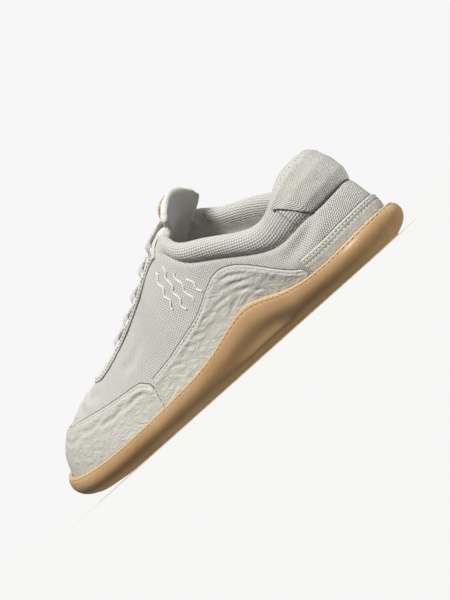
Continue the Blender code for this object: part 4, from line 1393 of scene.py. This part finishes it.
def make_laces():
    """Five soft flat laces; each end goes down through its eyelet."""
    rims, eyelets, holes = [], Patches(), Patches()
    t = np.linspace(0.0, 1.0, LACE_POINTS)[:, None]
    to_end = np.minimum(t, 1 - t)
    plunge = np.clip(1 - to_end / 0.075, 0.0, 1.0)
    narrow = 1.0 - 0.42 * smooth(0.0, 1.0, np.clip(1 - to_end / 0.17, 0, 1))
    corners = np.linspace(0, 2 * np.pi, LACE_SIDES, endpoint=False)
    wide, high = np.cos(corners)[None, :, None], np.sin(corners)
    round_up = (np.sign(high) * np.abs(high) ** 0.75)[None, :, None] * (1 - 0.25 * np.abs(wide) ** 3)
    around = LACE_WIDTH * 1.1 * np.abs(np.linspace(-1, 1, LACE_SIDES + 1))
    for number, row in enumerate(LACE_ROWS, 1):
        ends = skin_rows(np.array([row - LACE_STEP, row + LACE_STEP]), np.ones((2, 1)))[0][:, 0]
        half = LACE_WIDTH * LACE_STEP / np.linalg.norm(ends[1] - ends[0])
        lines = [across_throat(row + step, LACE_REACH, GAP + OVERLAY + GAP, LACE_CROWN)
                 for step in (-half, 0.0, half)]
        near, centre, far = (soft_curve(line, LACE_POINTS) for line in lines)
        width = np.linalg.norm(far - near, axis=1, keepdims=True)
        way = (far - near) / width
        up = unit(np.cross(way, unit(np.gradient(centre, axis=0))))
        up *= np.sign(up[LACE_POINTS // 2, 2])
        centre = centre - up * 0.0024 * plunge**2
        thick = LACE_THICKNESS * (1.12 + 0.10 * np.sin(2 * np.pi * (t * 1.5 + 0.37 * number)))
        section = centre[:, None] + way[:, None] * (width * narrow / 2)[:, None] * wide * 0.98
        section += up[:, None] * (thick / 2)[:, None] * (1.0 + round_up)
        patches = Patches()
        patches.tube(section, np.stack(np.meshgrid(run_length(centre), around, indexing="ij"), axis=-1))
        piece = patches.object("lace_%d_woven" % number, ["lace"], 70.0)
        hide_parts("lace_bar_%d" % number)
        for side in (1.0, -1.0):
            rows = np.array([side * row])
            share = 1.0 - (LACE_REACH + 0.0006) / skin_length(rows)[0]
            point, normal = skin_rows(rows, share[:, None], GAP + OVERLAY + 0.00008)
            rims.append((point[0, 0], normal[0, 0]))
    turn = np.linspace(0, 2 * np.pi, 28, endpoint=False)[:, None]
    tube = np.linspace(0, 2 * np.pi, 8, endpoint=False)[None, :, None]
    uv = map_of(np.arange(9) * 0.0003, np.arange(29) * 0.0005)
    for point, normal in rims:
        first = unit(np.cross(normal, (0.0, 1.0, 0.0)))
        circle = np.cos(turn) * first + np.sin(turn) * np.cross(normal, first)
        numbers = eyelets.add_points(point + circle[:, None] * (EYELET_RADIUS + 0.00042 * np.cos(tube))
                                     + normal * (0.0004 * np.sin(tube)))
        eyelets.quads(np.concatenate([numbers, numbers[:1]]), uv, wrap=True)
        # Near-black discs just over each eyelet's hole: painted shadow
        lower, upper = (holes.add_points(point + circle * HOLE_RADIUS + normal * lift)
                        for lift in (-0.0003, 0.00006))
        holes.polygon(upper)
        holes.polygon(lower[::-1])
        holes.quads(np.stack([lower, upper]), np.zeros((2, 29, 2)), wrap=True)
    eyelets.object("eyelet_stitching", ["bright_thread"], THREAD_ANGLE)
    holes.object("eyelet_hole_shadows", ["painted_hole_shadow"], 42.0)


def make_insole():
    """The footbed in the cup, a little raised along its sides."""
    fine = np.linspace(0.0, TURN / 2, 1500)
    outer, inner = (outline(side * fine, INSOLE_INSET + 0.0004)[0] for side in (1.0, -1.0))
    way = run_length(outer)
    first, last = np.interp((0.5, TURN / 2 - 0.5), fine, way)
    where = np.interp(np.linspace(first, last, 150), way, fine)[:, None]
    y = np.interp(where, fine, outer[:, 1])
    left = np.interp(where, fine, outer[:, 0])
    right = np.interp(y, np.maximum.accumulate(inner[:, 1]), inner[:, 0])
    share = np.linspace(0.0, 1.0, 44)[None]
    x = left * (1 - share) + right * share
    y = y + np.zeros_like(x)
    bow = 0.006 * (1 - (2 * share[0] - 1) ** 2)
    y[0] -= bow
    y[-1] += bow
    low = cup_floor(x, y) + GAP
    cup = 0.0008 * (1 - smooth(0.0, 0.010, np.minimum(np.abs(x - left), np.abs(right - x))))
    top, bottom = (np.stack([x, y, z], axis=-1) for z in (low + INSOLE + cup, low))
    piece = slab("insole_footbed", top, bottom, ["footbed"])
    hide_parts("insole")


# The photo's side of the shoe, from just above the floor, rolled as in the photo
AZIMUTH = np.radians(308.0)
ROLL_ANGLE = np.radians(-42.0)
CAMERA_FAR = 2.0
CAMERA_UP = 0.012
AIM = (0.010, -0.012, 0.036)
PIXELS_PER_M = 1850.0
LONG_SIDE = 600.0
SENSOR = 36.0
# Tone of the background; fill light from below and from above; the floor's colour and glow
BACKGROUND = 0.93
FILL_LIGHT = (0.10, 0.34)
FLOOR_SHADE = 0.26
FLOOR_GLOW = 0.532
FLOOR_REACH = 30.0


def make_camera():
    aim = Vector(AIM)
    rise = np.arcsin((CAMERA_UP - AIM[2]) / CAMERA_FAR)
    back = Vector((np.sin(AZIMUTH) * np.cos(rise), -np.cos(AZIMUTH) * np.cos(rise), np.sin(rise)))
    level = Vector((np.cos(AZIMUTH), np.sin(AZIMUTH), 0.0))
    upright = back.cross(level)
    right = level * np.cos(ROLL_ANGLE) + upright * np.sin(ROLL_ANGLE)
    up = back.cross(right)
    data = bpy.data.cameras.new("camera")
    data.sensor_width = SENSOR
    data.lens = PIXELS_PER_M * CAMERA_FAR / LONG_SIDE * SENSOR
    data.clip_start, data.clip_end = 0.05, 50.0
    camera = bpy.data.objects.new("camera", data)
    turned = Matrix((right, up, back)).transposed().to_4x4()
    camera.matrix_world = Matrix.Translation(aim + back * CAMERA_FAR) @ turned
    bpy.context.collection.objects.link(camera)
    bpy.context.scene.camera = camera


def add_light(name, way, strength, spread, colour):
    """A far light shining from a direction, as soft as its spread in degrees."""
    data = bpy.data.lights.new(name, "SUN")
    data.angle = np.radians(spread)
    data.energy = strength
    data.color = colour
    lamp = bpy.data.objects.new(name, data)
    lamp.location = way
    lamp.rotation_mode = "QUATERNION"
    lamp.rotation_quaternion = (-Vector(way)).to_track_quat("-Z", "Y")
    bpy.context.collection.objects.link(lamp)
    return lamp


def make_world():
    """A pale background, and a fill light that is weaker from below."""
    world = bpy.data.worlds.new("studio")
    world.use_nodes = True
    bpy.context.scene.world = world
    tree = world.node_tree
    seen = add_node(tree, "ShaderNodeLightPath").outputs["Is Camera Ray"]
    place = add_node(tree, "ShaderNodeTexCoord").outputs["Generated"]
    inputs = {"Value": add_node(tree, "ShaderNodeSeparateXYZ", {0: place}).outputs["Z"], "From Min": -0.5,
              "From Max": 0.5, "To Min": FILL_LIGHT[0], "To Max": FILL_LIGHT[1]}
    fill = add_node(tree, "ShaderNodeMapRange", inputs).outputs["Result"]
    inputs = {"Value": seen, "To Min": fill, "To Max": BACKGROUND}
    strength = add_node(tree, "ShaderNodeMapRange", inputs)
    shade = tree.nodes["Background"]
    shade.inputs["Color"].default_value = (1.0, 1.0, 1.0, 1.0)
    tree.links.new(strength.outputs["Result"], shade.inputs["Strength"])


def make_stage():
    """A pale floor that is seen through from below, and soft lights."""
    make_world()
    mesh = bpy.data.meshes.new("floor")
    corners = [(-FLOOR_REACH, -FLOOR_REACH, 0), (FLOOR_REACH, -FLOOR_REACH, 0),
               (FLOOR_REACH, FLOOR_REACH, 0), (-FLOOR_REACH, FLOOR_REACH, 0)]
    mesh.from_pydata(corners, [], [(0, 1, 2, 3)])
    floor = bpy.data.objects.new("floor", mesh)
    floor.location.z = -0.0002
    bpy.context.collection.objects.link(floor)
    look = Look("floor", 0.9, Base_Color=(*[FLOOR_SHADE] * 3, 1.0), Specular_IOR_Level=0.0,
                Emission_Color=(1.0, 1.0, 1.0, 1.0), Emission_Strength=FLOOR_GLOW)
    hidden = look.math("SUBTRACT", 1.0, look.node("ShaderNodeLightPath").outputs["Is Camera Ray"])
    either = look.math("MAXIMUM", look.node("ShaderNodeNewGeometry").outputs["Backfacing"], hidden)
    mix = look.node("ShaderNodeMixShader", {0: either, 1: look.shader.outputs["BSDF"],
                                            2: look.node("ShaderNodeBsdfTransparent").outputs["BSDF"]})
    look.tree.links.new(mix.outputs["Shader"], look.tree.nodes["Material Output"].inputs["Surface"])
    mesh.materials.append(look.made)
    add_light("key", (-0.90, -0.35, 1.25), 3.9, 14.0, (1.0, 0.985, 0.96))
    add_light("rim", (0.9, -0.6, 0.8), 1.2, 60.0, (0.97, 0.98, 1.0))
    below = add_light("below", (0.42, -0.34, -1.0), 2.1, 18.0, (1.0, 0.98, 0.95))
    below.visible_glossy = False
    bpy.context.scene.view_settings.view_transform = "Standard"


make_camera()
make_stage()
make_outsole()
make_insole()
make_upper()
make_overlays()
make_motif()
make_tongue()
make_laces()
